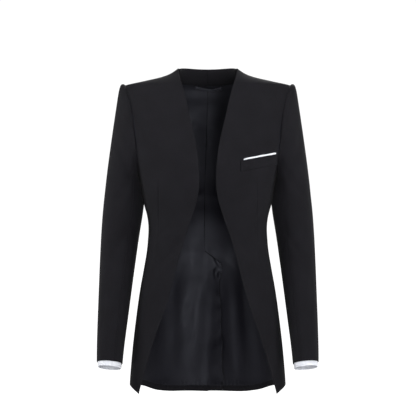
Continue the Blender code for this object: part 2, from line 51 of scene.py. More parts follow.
SECTIONS = (
    (-0.780, 0.1850, 0.100, 0.119, 0.42),
    (-0.743, 0.1835, 0.100, 0.119, 0.42),
    (-0.670, 0.1778, 0.100, 0.118, 0.42),
    (-0.570, 0.1662, 0.100, 0.113, 0.42),
    (-0.520, 0.1590, 0.100, 0.107, 0.42),
    (-0.470, 0.1500, 0.099, 0.098, 0.43),
    (-0.420, 0.1420, 0.099, 0.090, 0.43),
    (-0.374, 0.1390, 0.102, 0.087, 0.43),
    (-0.345, 0.1425, 0.108, 0.090, 0.43),
    (-0.320, 0.1500, 0.116, 0.096, 0.42),
    (-0.290, 0.1560, 0.124, 0.101, 0.42),
    (-0.265, 0.1610, 0.1275, 0.106, 0.42),
    (-0.248, 0.1650, 0.127, 0.108, 0.42),
    (-0.227, 0.1730, 0.125, 0.110, 0.43),
    (-0.206, 0.1830, 0.122, 0.112, 0.44),
    (-0.180, 0.1930, 0.117, 0.113, 0.45),
    (-0.140, 0.2050, 0.106, 0.111, 0.48),
    (-0.110, 0.2110, 0.095, 0.105, 0.50),
    (-0.083, 0.2120, 0.083, 0.097, 0.54),
    (-0.060, 0.2080, 0.071, 0.087, 0.57),
    (-0.0397, 0.1940, 0.062, 0.079, 0.60),
    (-0.0363, 0.1810, 0.060, 0.077, 0.60),
    (-0.0333, 0.1670, 0.057, 0.075, 0.60),
    (-0.0304, 0.1530, 0.055, 0.073, 0.60),
    (-0.0272, 0.1390, 0.052, 0.070, 0.60),
    (-0.0242, 0.1250, 0.050, 0.068, 0.60),
    (-0.0207, 0.1110, 0.047, 0.066, 0.58),
    (-0.0161, 0.0968, 0.043, 0.064, 0.56),
    (-0.0092, 0.0827, 0.036, 0.061, 0.54),
    (-0.0040, 0.0755, 0.029, 0.059, 0.52),
    (0.0000, 0.0688, 0.022, 0.058, 0.50),
    (0.0060, 0.0682, 0.020, 0.057, 0.50),
)

# The shoulder, the neck and the armhole
NECK_HALF_WIDTH = 0.0688
NECK_POINT_LEVEL = 0.0002
NECK_RISE = 0.0042
NECK_DIP = 0.0013
SHOULDER_TIP_LEVEL = -0.0397
SHOULDER_TIP_BLEND = 0.006
CHEST_LEVEL = -0.227
UNDERARM_LEVEL = -0.248
# The armhole: height, and distance of its front and back edge from the centre line
ARMHOLE = (
    (-0.227, 0.1625, 0.1645),
    (-0.206, 0.1632, 0.1675),
    (-0.180, 0.1645, 0.1700),
    (-0.157, 0.1665, 0.1720),
    (-0.134, 0.1695, 0.1740),
    (-0.109, 0.1740, 0.1775),
    (-0.083, 0.1800, 0.1825),
    (-0.060, 0.1875, 0.1885),
    (-0.0397, 0.1940, 0.1940),
)

# The front edge: height, and distance from the centre line
FRONT_EDGE = (
    (-0.780, 0.1665),
    (-0.761, 0.1610),
    (-0.741, 0.1560),
    (-0.634, 0.1240),
    (-0.540, 0.0920),
    (-0.449, 0.0675),
    (-0.403, 0.0545),
    (-0.357, 0.0387),
    (-0.334, 0.0310),
    (-0.312, 0.0242),
    (-0.289, 0.0202),
    (-0.266, 0.0188),
    (-0.221, 0.0209),
    (-0.182, 0.0260),
    (-0.153, 0.0325),
    (-0.107, 0.0432),
    (-0.083, 0.0485),
    (-0.044, 0.0588),
    (-0.016, 0.0668),
    (0.000, 0.0688),
)

# Angles round the torso are 0 at the side, positive to the front and negative to the back.
# The hem: angle, and height
HEM = (
    (-90.0, -0.7740),
    (-65.0, -0.7730),
    (-50.0, -0.7685),
    (-32.0, -0.755),
    (0.0, -0.743),
    (10.0, -0.7449),
    (16.0, -0.7480),
    (23.0, -0.7532),
    (31.0, -0.761),
)
# The seams of the side panel: height, and angle in front and behind
SIDE_SEAMS = (
    (-0.780, 10.0, -24.0),
    (-0.560, 12.0, -26.0),
    (-0.374, 16.0, -26.0),
    (-0.290, 19.0, -22.0),
    (-0.227, 20.0, -18.0),
)

# The sleeve's rings from the armhole to the hem, and one more for the end of the white cuff
RING_COLUMNS = ("outer_x", "outer_z", "inner_x", "inner_z", "centre_y", "half_depth", "tilt", "armhole")
RINGS = (
    (0.1940, -0.0397, 0.1650, -0.2480, 0.004, 0.057, 0.0, 1.00),
    (0.1990, -0.0370, 0.1648, -0.2490, 0.004, 0.060, 0.0, 0.97),
    (0.2050, -0.0400, 0.1640, -0.2505, 0.004, 0.0615, 0.0, 0.90),
    (0.2092, -0.0510, 0.1628, -0.2530, 0.004, 0.062, 0.0, 0.80),
    (0.2142, -0.0835, 0.1612, -0.2560, 0.004, 0.0625, 0.0, 0.65),
    (0.2212, -0.1300, 0.1592, -0.2610, 0.003, 0.0625, 0.0, 0.40),
    (0.2289, -0.1850, 0.1560, -0.2690, 0.002, 0.0625, 0.0, 0.20),
    (0.2361, -0.2400, 0.1520, -0.2810, 0.001, 0.062, 0.0, 0.06),
    (0.2417, -0.2900, 0.1485, -0.3020, 0.000, 0.061, 0.5, 0.0),
    (0.2470, -0.3400, 0.1522, -0.3400, 0.001, 0.059, 1.0, 0.0),
    (0.2503, -0.3850, 0.1600, -0.3850, 0.003, 0.056, 2.0, 0.0),
    (0.2528, -0.4300, 0.1663, -0.4300, 0.003, 0.054, 4.0, 0.0),
    (0.2546, -0.4800, 0.1732, -0.4800, -0.001, 0.0525, 6.0, 0.0),
    (0.2562, -0.5400, 0.1808, -0.5400, -0.010, 0.051, 8.0, 0.0),
    (0.2577, -0.6000, 0.1882, -0.6000, -0.021, 0.049, 10.0, 0.0),
    (0.2585, -0.6550, 0.1951, -0.6550, -0.032, 0.0475, 12.0, 0.0),
    (0.2580, -0.6896, 0.1984, -0.6936, -0.040, 0.0465, 13.0, 0.0),
    (0.2575, -0.6981, 0.1990, -0.7018, -0.042, 0.0462, 13.0, 0.0),
)
# The ring of the hem, the one where the white cuff starts inside, and how square rings are (2 is an oval)
HEM_RING = len(RINGS) - 2
CUFF_TOP_RING = HEM_RING - 0.55
RING_ROUND = 2.15
# Where the two lengthwise seams of a sleeve leave the armhole
FOREARM_SEAM_LEVEL = -0.193
HINDARM_SEAM_LEVEL = -0.159

# The sides, and which way each lies from the centre line
SIDES = {"left": 1.0, "right": -1.0}

# Cloth: full thickness, and how far in from a seam or a turned edge it reaches that.
# Two panels lap by a hair where they are sewn together, so the gap is negative.
CREPE = 0.0020
SLEEVE_CREPE = 0.0018
LINING = 0.0008
FACING = 0.0012
POPLIN = 0.0010
WHITE_EDGE_CLOTH = 0.0009
SEAM_RIM = 0.0009
EDGE_RIM = 0.0013
SEAM_GAP = -0.00005
LINING_RIM = 0.0007
FACING_RIMS = (0.0010, 0.0008, SEAM_RIM, SEAM_RIM)
CUFF_RIMS = (0.0008, 0.0006, 0.0, 0.0)
CUFF_GAP = 0.0004
# The tape that binds the seam allowance inside an armhole
TAPE_RADIUS = 0.0017
TAPE_DEPTH = 0.0014

# Layers inside the back: depth of the lining's and the facing's outer side under the form,
# the facing's lower edge, and how far the lining ends above the hem
LINING_DEPTH = 0.0032
FACING_DEPTH = 0.0021
FACING_EDGE = -0.0338
FACING_EDGE_RISE = 0.0050
FACING_EDGE_FLAT = 0.022
FACING_EDGE_SPREAD = 0.045
LINING_HEM = 0.0138
# Beside the vent the left lining ends this far from the centre line, and lower down it comes nearer
LEFT_LINING_EDGE = 0.0355
LEFT_LINING_TUCK = 0.0115
# The most that a wrinkle may move the lining out
LINING_OUT = 0.0006
# The pulled knot at the vent's top: distance past the centre line and height, half sizes, and relief
KNOT = (0.0290, -0.4900)
KNOT_SIZE = (0.0050, 0.0085)
KNOT_HEIGHT = 0.0034
# The lining stands fuller in the upper middle: place across, half width and depth
LINING_FULLNESS = (0.003, 0.027, 0.0036)
# The wave of the lining, the puckers at its hem from which height down, and those of its free edge
LINING_WAVE = 0.0006
LINING_PUCKER = 0.0010
LINING_PUCKER_TOP = -0.742
LINING_EDGE_PUCKER = 0.0012
LINING_EDGE_PUCKER_TOP = -0.50
# Over the vent the lining turns in: from this height down, and over this length
LINING_TURN_TOP = -0.385
LINING_TURN_RUN = 0.055
# The centre seam of the lining: height, and distance to the wearer's right of the centre line
LINING_SEAM = (
    (-0.780, 0.0088),
    (-0.430, 0.0085),
    (-0.280, 0.0070),
    (-0.120, 0.0022),
    (-0.050, 0.0002),
    (0.0, 0.0),
)

# The back vent, and its free edge: height, and distance past the centre line
VENT_TOP = -0.430
VENT_CORNER = -0.4604
VENT_FREE = VENT_CORNER - 0.012
VENT_EDGE = (
    (-0.780, 0.0392),
    (-0.662, 0.0372),
    (-0.625, 0.0358),
    (-0.551, 0.0326),
    (-0.520, 0.0300),
    (-0.503, 0.0290),
    (-0.491, 0.0340),
    (-0.478, 0.0358),
    (-0.4604, 0.0345),
    (-0.430, 0.0350),
)
# How far the right back steps in under the left one, and its underlay hangs in beyond that
VENT_STEP = 0.0030
FLAP_LIFT = 0.0055
# Small waves of its free edge, sideways and inwards: height, radians to a metre, and start
EDGE_WAVES = ((0.0008, 74.0, 0.0), (0.0005, 171.0, 1.0))
FLAP_WAVES = ((0.0009, 62.0, 0.0), (0.0005, 139.0, 0.0))
# The back hem's slight wave, from which height down, and how much higher the underlay ends
HEM_WAVE = 0.0006
HEM_WAVE_TOP = -0.71
UNDERLAY_RISE = 0.0024

# The welt of the chest pocket on the left front, and the white edge above it
WELT_CENTRE = (0.1170, -0.2245)
WELT_WIDTH = 0.085
WELT_HEIGHT = 0.0246
WELT_SLOPE = math.radians(11.6)
WELT_CLOTH = 0.0011
WELT_LIFT = 0.0007
WELT_RIMS = (0.0009, 0.0011, 0.0009, 0.0009)
WELT_BULGE = 0.0003
WELT_WAVE = 0.0002
WELT_STITCH_INSET = 0.0013
WHITE_EDGE_SHIFT = 0.0025
WHITE_EDGE_LENGTH = 0.077
WHITE_EDGE_HEIGHT = 0.0036
# How far the white cloth goes down behind the welt, its lift off the front, and its rims
WHITE_EDGE_TUCK = 0.0078
WHITE_EDGE_LIFT = 0.0009
WHITE_EDGE_RIMS = (0.0006, 0.0009, 0.0007, 0.0007)

# Stitches: length, gap and radius
FACING_STITCH = (0.0024, 0.0022, 0.00028)
WELT_STITCH = (0.0022, 0.0008, 0.00017)
CUFF_STITCH = (0.0022, 0.0009, 0.00016)
# The painted shade line of a sewn seam, a near-black strip for the shadow in its groove: width and
# thickness
LINING_LINE = (0.0011, 0.0005)
SLANT_LINE = (0.0017, 0.0005)
FACING_LINE = (0.0009, 0.0005)
DART_LINE = (0.0006, 0.0003)
WELT_LINE = (0.0009, 0.0004)

# The hanger loop inside the back neck: its ends, and at which share of its length it is lowest
LOOP_LEFT = 0.0355
LOOP_RIGHT = -0.0312
LOOP_LEVEL = -0.0366
LOOP_SAG = 0.0060
LOOP_LOWEST = 0.58
LOOP_TILT = 0.0026
LOOP_WIDTH = 0.0054
LOOP_THICKNESS = 0.0027
LOOP_DEPTH = 0.0082

# Creases of the torso: angle and height of both ends, half width, depth and bow, by side,
# here and in the next tables in degrees and millimetres.
# They are pulled to the bust, the waist and the vent, as on the real cloth.
FRONT_CREASES = {
    "left": (
        (62, -385, 40, -462, 10, 1.6, 4),
        (30, -345, 58, -405, 8, 0.9, -3),
        (28, -375, 20, -560, 12, 1.3, 5),
        (52, -470, 46, -690, 17, 1.5, -6),
        (33, -520, 30, -720, 15, 1.2, 4),
        (36, -120, 27, -200, 10, 1.1, 4),
        (66, -110, 60, -205, 11, 0.7, 3),
    ),
    "right": (
        (66, -395, 42, -455, 11, 2.6, 5),
        (60, -372, 30, -398, 8, 1, -3),
        (30, -350, 22, -540, 11, 1.4, -4),
        (50, -480, 50, -665, 16, 1.4, 6),
        (30, -500, 34, -700, 15, 1.3, -5),
        (34, -115, 28, -205, 10, 1.2, 3),
        (64, -125, 57, -215, 11, 0.8, -3),
    ),
}
BACK_CREASES = {
    "left": (
        (-66, -330, -40, -372, 8.5, 1.3, 4),
        (-76, -356, -38, -405, 9, 1.1, -3),
        (-60, -500, -56, -735, 16, 1.6, 6),
        (-74, -560, -70, -740, 13, 1.1, -3),
        (-38, -110, -34, -215, 11, 1.4, 4),
        (-70, -75, -58, -150, 12, 0.8, -4),
        (-40, -430, -34, -640, 13, 1.1, 4),
    ),
    "right": (
        (-70, -336, -43, -366, 8.5, 1.2, -3),
        (-74, -362, -36, -412, 9.5, 1.3, 4),
        (-57, -490, -61, -715, 16, 1.4, -5),
        (-76, -540, -78, -720, 12, 0.9, 3),
        (-36, -105, -35, -205, 11, 1.3, -4),
        (-68, -85, -56, -165, 12, 0.9, 3),
        (-36, -440, -40, -655, 13, 1.2, -3),
    ),
}
# Folds of the lining, which stand into the jacket: it gathers to the stitched top of the vent
# and hangs full beside the underlay
LINING_CREASES = {
    "left": (
        (-78, -446, -62, -480, 7, 0.4, 2),
        (-71.5, -500, -69.5, -750, 13, 2.6, -1),
        (-66, -500, -60, -735, 13, 0.4, 4),
        (-54, -480, -51, -780, 30, 8, -4),
        (-86, -300, -64, -330, 7, 0.9, 3),
    ),
    "right": (
        (-88, -452, -74, -600, 10, 0.7, 4),
        (-82, -450, -62, -690, 18, 0.8, -6),
        (-93, -470, -84, -745, 12, 0.9, 3),
        (-72, -420, -54, -600, 14, 0.6, 5),
        (-88, -290, -62, -325, 7.5, 1, -3),
        (-96, -440, -102, -470, 3, 1.2, 1),
    ),
}
# Creases of a sleeve: angle round it (0 outside, 90 in front, 180 inside) and height of both ends
SLEEVE_CREASES = {
    "left": (
        (75, -90, 110, -200, 10, 1.8, 4),
        (30, -150, 100, -245, 11, 1.7, -5),
        (120, -215, 60, -300, 10, 1.4, 4),
        (60, -385, 120, -425, 9, 1.3, -3),
        (130, -360, 80, -440, 8.5, 1.4, 3),
        (50, -480, 66, -640, 13, 1.2, 4),
        (220, -395, 280, -430, 10, 1.2, 3),
        (250, -150, 300, -290, 11, 1.2, -4),
        (290, -450, 276, -640, 12, 1.1, 3),
        (10, -300, 350, -470, 15, 0.9, 3),
    ),
    "right": (
        (70, -85, 105, -190, 10, 1.7, -4),
        (40, -165, 108, -262, 11.5, 1.6, 5),
        (125, -230, 70, -330, 10, 1.5, -3),
        (55, -400, 115, -430, 9, 1.2, 3),
        (125, -350, 85, -445, 9, 1.3, -3),
        (70, -470, 55, -630, 13, 1.3, -4),
        (225, -405, 285, -425, 10, 1.3, -3),
        (255, -140, 295, -280, 11, 1.3, 4),
        (280, -460, 290, -650, 12, 1.2, -3),
    ),
}

# A dart on each front: distance from the centre and height of its top and its lower end
DART_TOP = (0.113, -0.262)
DART_END = (0.1135, -0.412)
DART_WIDTH = 0.0010
DART_DEPTH = 0.0011
# Its points: how far the close ones reach, how many lie on each side of them, and places in widths
DART_REACH = 0.0026
DART_COLUMNS = (24, 34)
DART_STATIONS = np.array((-2.0, -1.4, -0.9, -0.5, -0.2, 0.0, 0.2, 0.5, 0.9, 1.4, 2.0))
# The roll of the turned front edge
EDGE_ROLL = 0.0006
EDGE_ROLL_WIDTH = 0.0035
# The slow wave of the skirt, from which height down
SKIRT_WAVE = 0.0007
SKIRT_TOP = -0.30
# The roll at the sleeve head: height, place below the armhole and half width
SLEEVE_HEAD_ROLL = 0.0013
SLEEVE_HEAD_AT = 0.0075
SLEEVE_HEAD_WIDTH = 0.0055

# In metres: a millimetre of the crease tables, and a degree round the torso and round a sleeve
MILLIMETRE = 0.001
TORSO_SCALE = 0.0026
SLEEVE_SCALE = 0.00092
# Creases of the torso fade out towards the seams and towards the top
SEAM_FADE = 0.022
TOP_FADE = 0.03

SEAM_ALLOWANCE = 0.012
# How close the points of a piece lie, and into how many shares the form is first divided
PANEL_STEP = 0.0032
SLEEVE_STEP = 0.0034
LINING_STEP = 0.0030
FACING_STEP = 0.0018
WELT_STEP = 0.0016
WHITE_EDGE_STEP = 0.0012
FRONT_ROWS = 250
CUFF_ROWS = 14
LOWER_SHARES = np.linspace(0.0, 1.0, 200)
UPPER_SHARES = np.linspace(0.0, 1.0, 120)
ACROSS_SHARES = np.linspace(0.0, 1.0, 110)
SIDE_SHARES = np.linspace(0.0, 1.0, 60)

# The studio: the floor's height, and how its paper brightens away from the jacket: radius and glow
FLOOR_LEVEL = -1.35
FLOOR_RADIUS = 40.0
FLOOR_NEAR = (2.2, 0.25)
FLOOR_FAR = (3.4, 1.05)
# The share of the paper's own brightness that falls on the jacket
FLOOR_GLOW = 0.45
# Lamps: name, place, aim, size of the disk, power and beam in degrees
LAMPS = (
    ("key_lamp", (-2.2, -0.9, 1.4), (0.0, 0.0, -0.2), 1.2, 64.0, 180.0),
    ("fill_lamp", (2.3, -1.1, 1.35), (0.0, 0.0, -0.2), 1.2, 60.0, 180.0),
    ("front_lamp", (0.4, -3.3, 0.15), (0.0, 0.0, -0.3), 1.3, 18.0, 180.0),
    ("low_lamp", (0.3, -2.2, -1.2), (0.0, 0.1, -0.02), 0.8, 2.2, 50.0),
    ("back_lamp", (0.6, 2.6, 1.5), (0.0, 0.0, -0.3), 1.6, 40.0, 180.0),
)
# The air's brightness as it lights the jacket, and as the camera sees it
AIR_LIGHT = 0.14
WHITE_AIR = 1.05
# The camera: its place, and its lens and sensor in millimetres
CAMERA_PLACE = (0.0007, -3.4, -0.3285)
CAMERA_LENS = 125.0
CAMERA_SENSOR = 36.0


def smooth_step(value):
    """0 below 0, 1 above 1, and a smooth rise between."""
    t = np.clip(value, 0.0, 1.0)
    return t * t * (3.0 - 2.0 * t)


def unit(vectors):
    return vectors / np.maximum(np.linalg.norm(vectors, axis=-1, keepdims=True), 1e-12)


def monotone_curve(places, values, at):
    """Values at some places of a smooth curve through points, which never overshoots them."""
    order = np.argsort(places)
    p, v = np.asarray(places, float)[order], np.asarray(values, float)[order]
    step = np.diff(p)
    rise = np.diff(v) / step
    slope = np.concatenate(([rise[0]], np.zeros(len(p) - 2), [rise[-1]]))
    same = rise[:-1] * rise[1:] > 0.0
    slope[1:-1][same] = 2.0 * rise[:-1][same] * rise[1:][same] / (rise[:-1][same] + rise[1:][same])
    k = np.clip(np.searchsorted(p, at, side="right") - 1, 0, len(step) - 1)
    t = (at - p[k]) / step[k]
    return (
        v[k] * (1 + 2 * t) * (1 - t) ** 2
        + slope[k] * step[k] * t * (1 - t) ** 2
        + v[k + 1] * t * t * (3 - 2 * t)
        + slope[k + 1] * step[k] * t * t * (t - 1)
    )


def eased_curve(places, values, samples, ease):
    """A function for the curve through points. ease, a share or a function, evens it out."""
    dense = np.linspace(min(places), max(places), samples)
    line = monotone_curve(places, values, dense)
    weight = ease(dense)[1:-1] if callable(ease) else ease
    for _ in range(60):
        line[1:-1] += weight * (0.5 * (line[:-2] + line[2:]) - line[1:-1])
    return lambda at: np.interp(at, dense, line)


def ease_below_chest(z):
    """Full easing on the long body of the jacket, and very little at the shoulder and neck."""
    return np.clip((-0.07 - z) / 0.08, 0.03, 1.0)


def column(table, index, ease=ease_below_chest):
    rows = np.array(table)
    return eased_curve(rows[:, 0], rows[:, index], samples=700, ease=ease)


section_width, front_depth, back_depth, roundness = (
    column(SECTIONS, SECTION_COLUMNS.index(name)) for name in ("half_width", "front", "back", "round")
)
front_edge = column(FRONT_EDGE, 1)
hem_height = column(HEM, 1, ease=0.0)
front_seam = column(SIDE_SEAMS, 1)
back_seam = column(SIDE_SEAMS, 2)
lining_seam = column(LINING_SEAM, 1)
vent_edge = column(VENT_EDGE, 1)
armhole_front = column(ARMHOLE, 1)
armhole_back = column(ARMHOLE, 2)
shoulder_rows = [row for row in SECTIONS if SHOULDER_TIP_LEVEL <= row[0] <= 0.0]
shoulder_height = eased_curve(
    [row[1] for row in shoulder_rows],
    [row[0] if row[0] < 0.0 else NECK_POINT_LEVEL for row in shoulder_rows],
    samples=300,
    ease=0.5,
)
seam_places = np.linspace(NECK_HALF_WIDTH, ARMHOLE[-1][1], 400)
seam_levels = shoulder_height(seam_places)
ring_value = {
    name: eased_curve(range(len(RINGS)), [row[k] for row in RINGS], samples=340, ease=0.9)
    for k, name in enumerate(RING_COLUMNS)
}


def half_width(z):
    """The form's half width at a height: by its sections, and at the shoulder by the shoulder seam."""
    at_seam = np.interp(z, seam_levels[::-1], seam_places[::-1])
    share = smooth_step((z - SHOULDER_TIP_LEVEL + SHOULDER_TIP_BLEND) / SHOULDER_TIP_BLEND)
    return section_width(z) * (1.0 - share) + at_seam * share


def form_points(x, z, behind):
    """Points of the torso's form at x and z. x may run past the centre line."""
    share = np.minimum(np.abs(x) / half_width(z), 1.0)
    depth = back_depth(z) if behind else -front_depth(z)
    y = depth * (1.0 - share * share) ** roundness(z)
    return np.stack(np.broadcast_arrays(x, y, z), -1)


def form_normals(points, behind):
    """Outward directions of the torso's form at points on it."""
    def value(p):
        z = p[..., 2]
        depth = back_depth(z) if behind else front_depth(z)
        outward = np.maximum(p[..., 1] if behind else -p[..., 1], 0.0)
        return (p[..., 0] / half_width(z)) ** 2 + (outward / depth) ** (1.0 / roundness(z)) - 1.0

    shifts = np.eye(3) * 0.0005
    return unit(np.stack([value(points + s) - value(points - s) for s in shifts], -1))


def top_height(x):
    """The height of the shoulder seam, or of the back neck edge, at a distance from the centre."""
    x = np.abs(x)
    share = np.minimum(x / NECK_HALF_WIDTH, 1.0)
    neck = NECK_POINT_LEVEL + NECK_RISE * (1.0 - share ** 8) - NECK_DIP * (1.0 - share ** 2) ** 2
    return np.where(x < NECK_HALF_WIDTH, neck, shoulder_height(x))


def front_top(x):
    return np.where(x < NECK_HALF_WIDTH, NECK_POINT_LEVEL, top_height(x))


def side_top(angle):
    """The height where the lower part ends: the chest level, or the armhole over the side panel."""
    edge = np.where(angle > 0.0, front_seam(CHEST_LEVEL), back_seam(CHEST_LEVEL))
    share = np.clip(np.abs(angle / edge), 0.0, 1.0)
    return CHEST_LEVEL + (UNDERARM_LEVEL - CHEST_LEVEL) * np.cos(share * math.pi / 2) ** 1.5


def edge_angle(x, z):
    """The angle round the torso of a distance x from the centre at a height."""
    return np.degrees(np.arccos(np.clip(x / half_width(z), -1.0, 1.0)))


def with_angle(x, z, behind):
    """Torso points with the angle round the torso as a fourth number."""
    points = form_points(x, z, behind)
    angle = edge_angle(x, z) * (-1.0 if behind else 1.0)
    return np.concatenate((points, np.broadcast_to(angle, points.shape[:2])[..., None]), -1)


def lower_part(angle_at, shares):
    """Places, heights and angles in rows from the hem (share 0) up to the chest level (share 1)."""
    share = shares[:, None]
    z = CHEST_LEVEL + (hem_height(0.0) - CHEST_LEVEL) * (1.0 - share)
    for _ in range(10):
        angle = angle_at(z)
        z = hem_height(angle) * (1.0 - share) + side_top(angle) * share
    return half_width(z) * np.cos(np.radians(angle)), z, angle


def torso_grid(behind, reach, top_at, low_share=0.0):
    """Points of a front or back from its side seam to reach(z) from the centre line."""
    seam, armhole, turn = (back_seam, armhole_back, -1.0) if behind else (front_seam, armhole_front, 1.0)
    s = ACROSS_SHARES[None, :]
    shares = low_share + (1.0 - low_share) * LOWER_SHARES
    x, z, _ = lower_part(lambda h: seam(h) * (1 - s) + turn * edge_angle(reach(h), h) * s, shares)
    lower = with_angle(x, z, behind)
    low = ((x[-1] - x[-1, -1]) / (x[-1, 0] - x[-1, -1]))[None, :]
    share = UPPER_SHARES[:, None]
    z = CHEST_LEVEL * (1.0 - share)
    for _ in range(12):
        inner = reach(z)
        x = inner + (armhole(z) - inner) * (low * (1 - share) + (1 - s) * share)
        z = CHEST_LEVEL * (1.0 - share) + top_at(x) * share
    return np.concatenate((lower, with_angle(x, z, behind)[1:]))


def side_grid():
    """Points of the side panel, from its front seam to its back seam."""
    s = SIDE_SHARES[None, :]
    x, z, angle = lower_part(lambda h: front_seam(h) * (1 - s) + back_seam(h) * s, LOWER_SHARES)
    depth = np.where(angle < 0.0, back_depth(z), -front_depth(z))
    y = depth * np.abs(np.sin(np.radians(angle))) ** (2.0 * roundness(z))
    return np.stack((x, y, z, angle), -1)


def grid_normals(grid, closed=False):
    """Unit directions square to a grid of points, by its neighbours."""
    if closed:
        around = np.roll(grid, -1, axis=1) - np.roll(grid, 1, axis=1)
    else:
        around = np.gradient(grid, axis=1)
    return unit(np.cross(around, np.gradient(grid, axis=0)))


def run_along(grid, axis):
    """The distance along a grid's lines from their first points."""
    steps = np.linalg.norm(np.diff(grid[..., :3], axis=axis), axis=-1)
    padding = [(0, 0)] * (grid.ndim - 1)
    padding[axis] = (1, 0)
    return np.pad(np.cumsum(steps, axis=axis), padding)


def interpolated(at, run, values):
    """Rows of values at distances along a run."""
    return np.stack([np.interp(at, run, values[:, c]) for c in range(values.shape[1])], -1)


def stations(length, start, end, rims, spacing_count):
    """Distances along a line: close together in the rims at its two ends and even between them."""
    fine = np.array([0.0, 0.07, 0.26, 0.58])
    low = start + fine * rims[0]
    high = length - end - fine[::-1] * rims[1]
    even = np.linspace(start + rims[0], length - end - rims[1], spacing_count)
    return np.concatenate((low, even, high))


def respaced(grid, axis, count, gaps, rims):
    """A grid whose lines along one axis are spaced anew, with their ends pulled in by the gaps."""
    lines = np.moveaxis(grid, axis, 0)
    runs = np.moveaxis(run_along(grid, axis), axis, 0)
    made = [
        interpolated(stations(runs[-1, k], *gaps, rims, count), runs[:, k], lines[:, k])
        for k in range(lines.shape[1])
    ]
    return np.moveaxis(np.stack(made, 1), 0, axis)


def placed(grid, gaps, rims, step=PANEL_STEP):
    """A grid with even steps inside its rims. gaps and rims are for the bottom, top, start and end."""
    width = run_along(grid, 1)[:, -1].max()
    length = run_along(grid, 0)[-1, :].max()
    grid = respaced(grid, 1, max(int(width / step), 4), gaps[2:], rims[2:])
    return respaced(grid, 0, max(int(length / step), 4), gaps[:2], rims[:2])


def rim_share(grid, rims, closed):
    """0 on the border of a cloth and 1 past its rims, with a round rise between."""
    share = np.ones(grid.shape[:2])
    for axis, (first, last) in ((0, rims[:2]), (1, rims[2:])):
        if axis == 1 and closed:
            continue
        run = run_along(grid, axis)
        whole = run[-1:, :] if axis == 0 else run[:, -1:]
        if first:
            share = np.minimum(share, run / first)
        if last:
            share = np.minimum(share, (whole - run) / last)
    return np.sqrt(1.0 - (1.0 - np.clip(share, 0.0, 1.0)) ** 2)


def add_piece(name, points, faces, looks, slot):
    """A smooth mesh with its materials, riding on the jacket's one body."""
    mesh = bpy.data.meshes.new(name)
    mesh.from_pydata(points.reshape(-1, 3).tolist(), [], faces)
    for look in looks:
        mesh.materials.append(look)
    mesh.shade_smooth()
    made = bpy.data.objects.new(name, mesh)
    bpy.context.scene.collection.objects.link(made)
    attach(made, "root")
    return made


def upright_axis(grid):
    return grid * (0.0, 0.0, 1.0)


def cloth(name, grid, thickness, rims, looks, slot, closed=False, middle_line=upright_axis):
    """A closed thin body of cloth whose outer side is the grid. rims are its bottom, top, start and end.

    looks are the materials of the outer and the inner side. The outer side looks away from the middle line.
    """
    grid = grid[..., :3]
    normals = grid_normals(grid, closed)
    if np.sum(normals * (grid - middle_line(grid))) < 0.0:
        normals = -normals
        grid, normals = grid[:, ::-1], normals[:, ::-1]
        rims = (rims[0], rims[1], rims[3], rims[2])
    half = thickness / 2
    bulge = (half * rim_share(grid, rims, closed))[..., None]
    middle = grid - normals * half
    outer, inner = middle + normals * bulge, middle - normals * bulge
    rows, columns = grid.shape[:2]
    inside = np.ones((rows, columns), bool)
    inside[0] = inside[-1] = False
    if not closed:
        inside[:, 0] = inside[:, -1] = False
    outer_index = np.arange(rows * columns).reshape(rows, columns)
    inner_index = outer_index.copy()
    inner_index[inside] = rows * columns + np.arange(np.count_nonzero(inside))

    def quads(index):
        if closed:
            index = np.concatenate((index, index[:, :1]), axis=1)
        ring = (index[:-1, :-1], index[:-1, 1:], index[1:, 1:], index[1:, :-1])
        return np.stack(ring, -1).reshape(-1, 4)

    front_faces, back_faces = quads(outer_index), quads(inner_index)[:, ::-1]
    points = np.concatenate((outer.reshape(-1, 3), inner[inside]))
    piece = add_piece(name, points, np.concatenate((front_faces, back_faces)).tolist(), looks, slot)
    if len(looks) > 1:
        layers = np.repeat(np.array((0, 1), np.int32), (len(front_faces), len(back_faces)))
        piece.data.polygons.foreach_set("material_index", layers)
    piece.data.validate()
    return piece


def measured_cut(grid):
    """The width, length and area of a cloth laid flat, with its seam allowances."""
    grid = grid[..., :3]
    width = run_along(grid, 1)[:, -1].max()
    length = run_along(grid, 0)[-1, :].max()
    a, b = grid[1:, 1:] - grid[:-1, :-1], grid[1:, :-1] - grid[:-1, 1:]
    area = 0.5 * np.linalg.norm(np.cross(a, b), axis=-1).sum()
    allowance = min(SEAM_ALLOWANCE, 0.04 * min(width, length))
    area += 2 * allowance * (width + length)
    width += 2 * allowance
    length += 2 * allowance
    return width, length, min(area, 0.98 * width * length)


def sew(name, node, grid, thickness, rims, looks, slot, side_name=None, **shape):
    """Makes a cloth, hides the solid it stands for, and works out the size it was cut to.

    With a side's name the grid is mirrored to that side, and the names end in it.
    """
    if side_name:
        name, node, grid = f"{name}_{side_name}", f"{node}_{side_name}", mirrored(grid, side_name)
    piece = cloth(name, grid, thickness, rims, looks, slot, **shape)
    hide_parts(node)
    width, length, area = measured_cut(grid)


def crease_depth(creases, across, height, scale):
    """How far creases move the cloth out (positive) or in at places (across, height) of a surface.

    scale turns a degree across into metres. Each crease is a bowed valley with a soft ridge beside it.
    """
    moved = np.zeros(np.broadcast(across, height).shape)
    for start, low, end, high, width, depth, bow in creases:
        low, high, width, depth, bow = (v * MILLIMETRE for v in (low, high, width, depth, bow))
        run = np.array(((end - start) * scale, high - low))
        length = np.hypot(*run)
        run /= length
        u, v = (across - start) * scale, height - low
        along = np.clip((u * run[0] + v * run[1]) / length, -0.2, 1.2)
        side = u * -run[1] + v * run[0] - bow * 4.0 * along * (1.0 - along)
        fade = smooth_step((along + 0.15) / 0.4) * smooth_step((1.15 - along) / 0.4)
        valley = np.exp(-((side / width) ** 2))
        ridge = np.exp(-((side / width - 1.9) ** 2))
        moved += depth * fade * (0.55 * ridge - valley)
    return moved


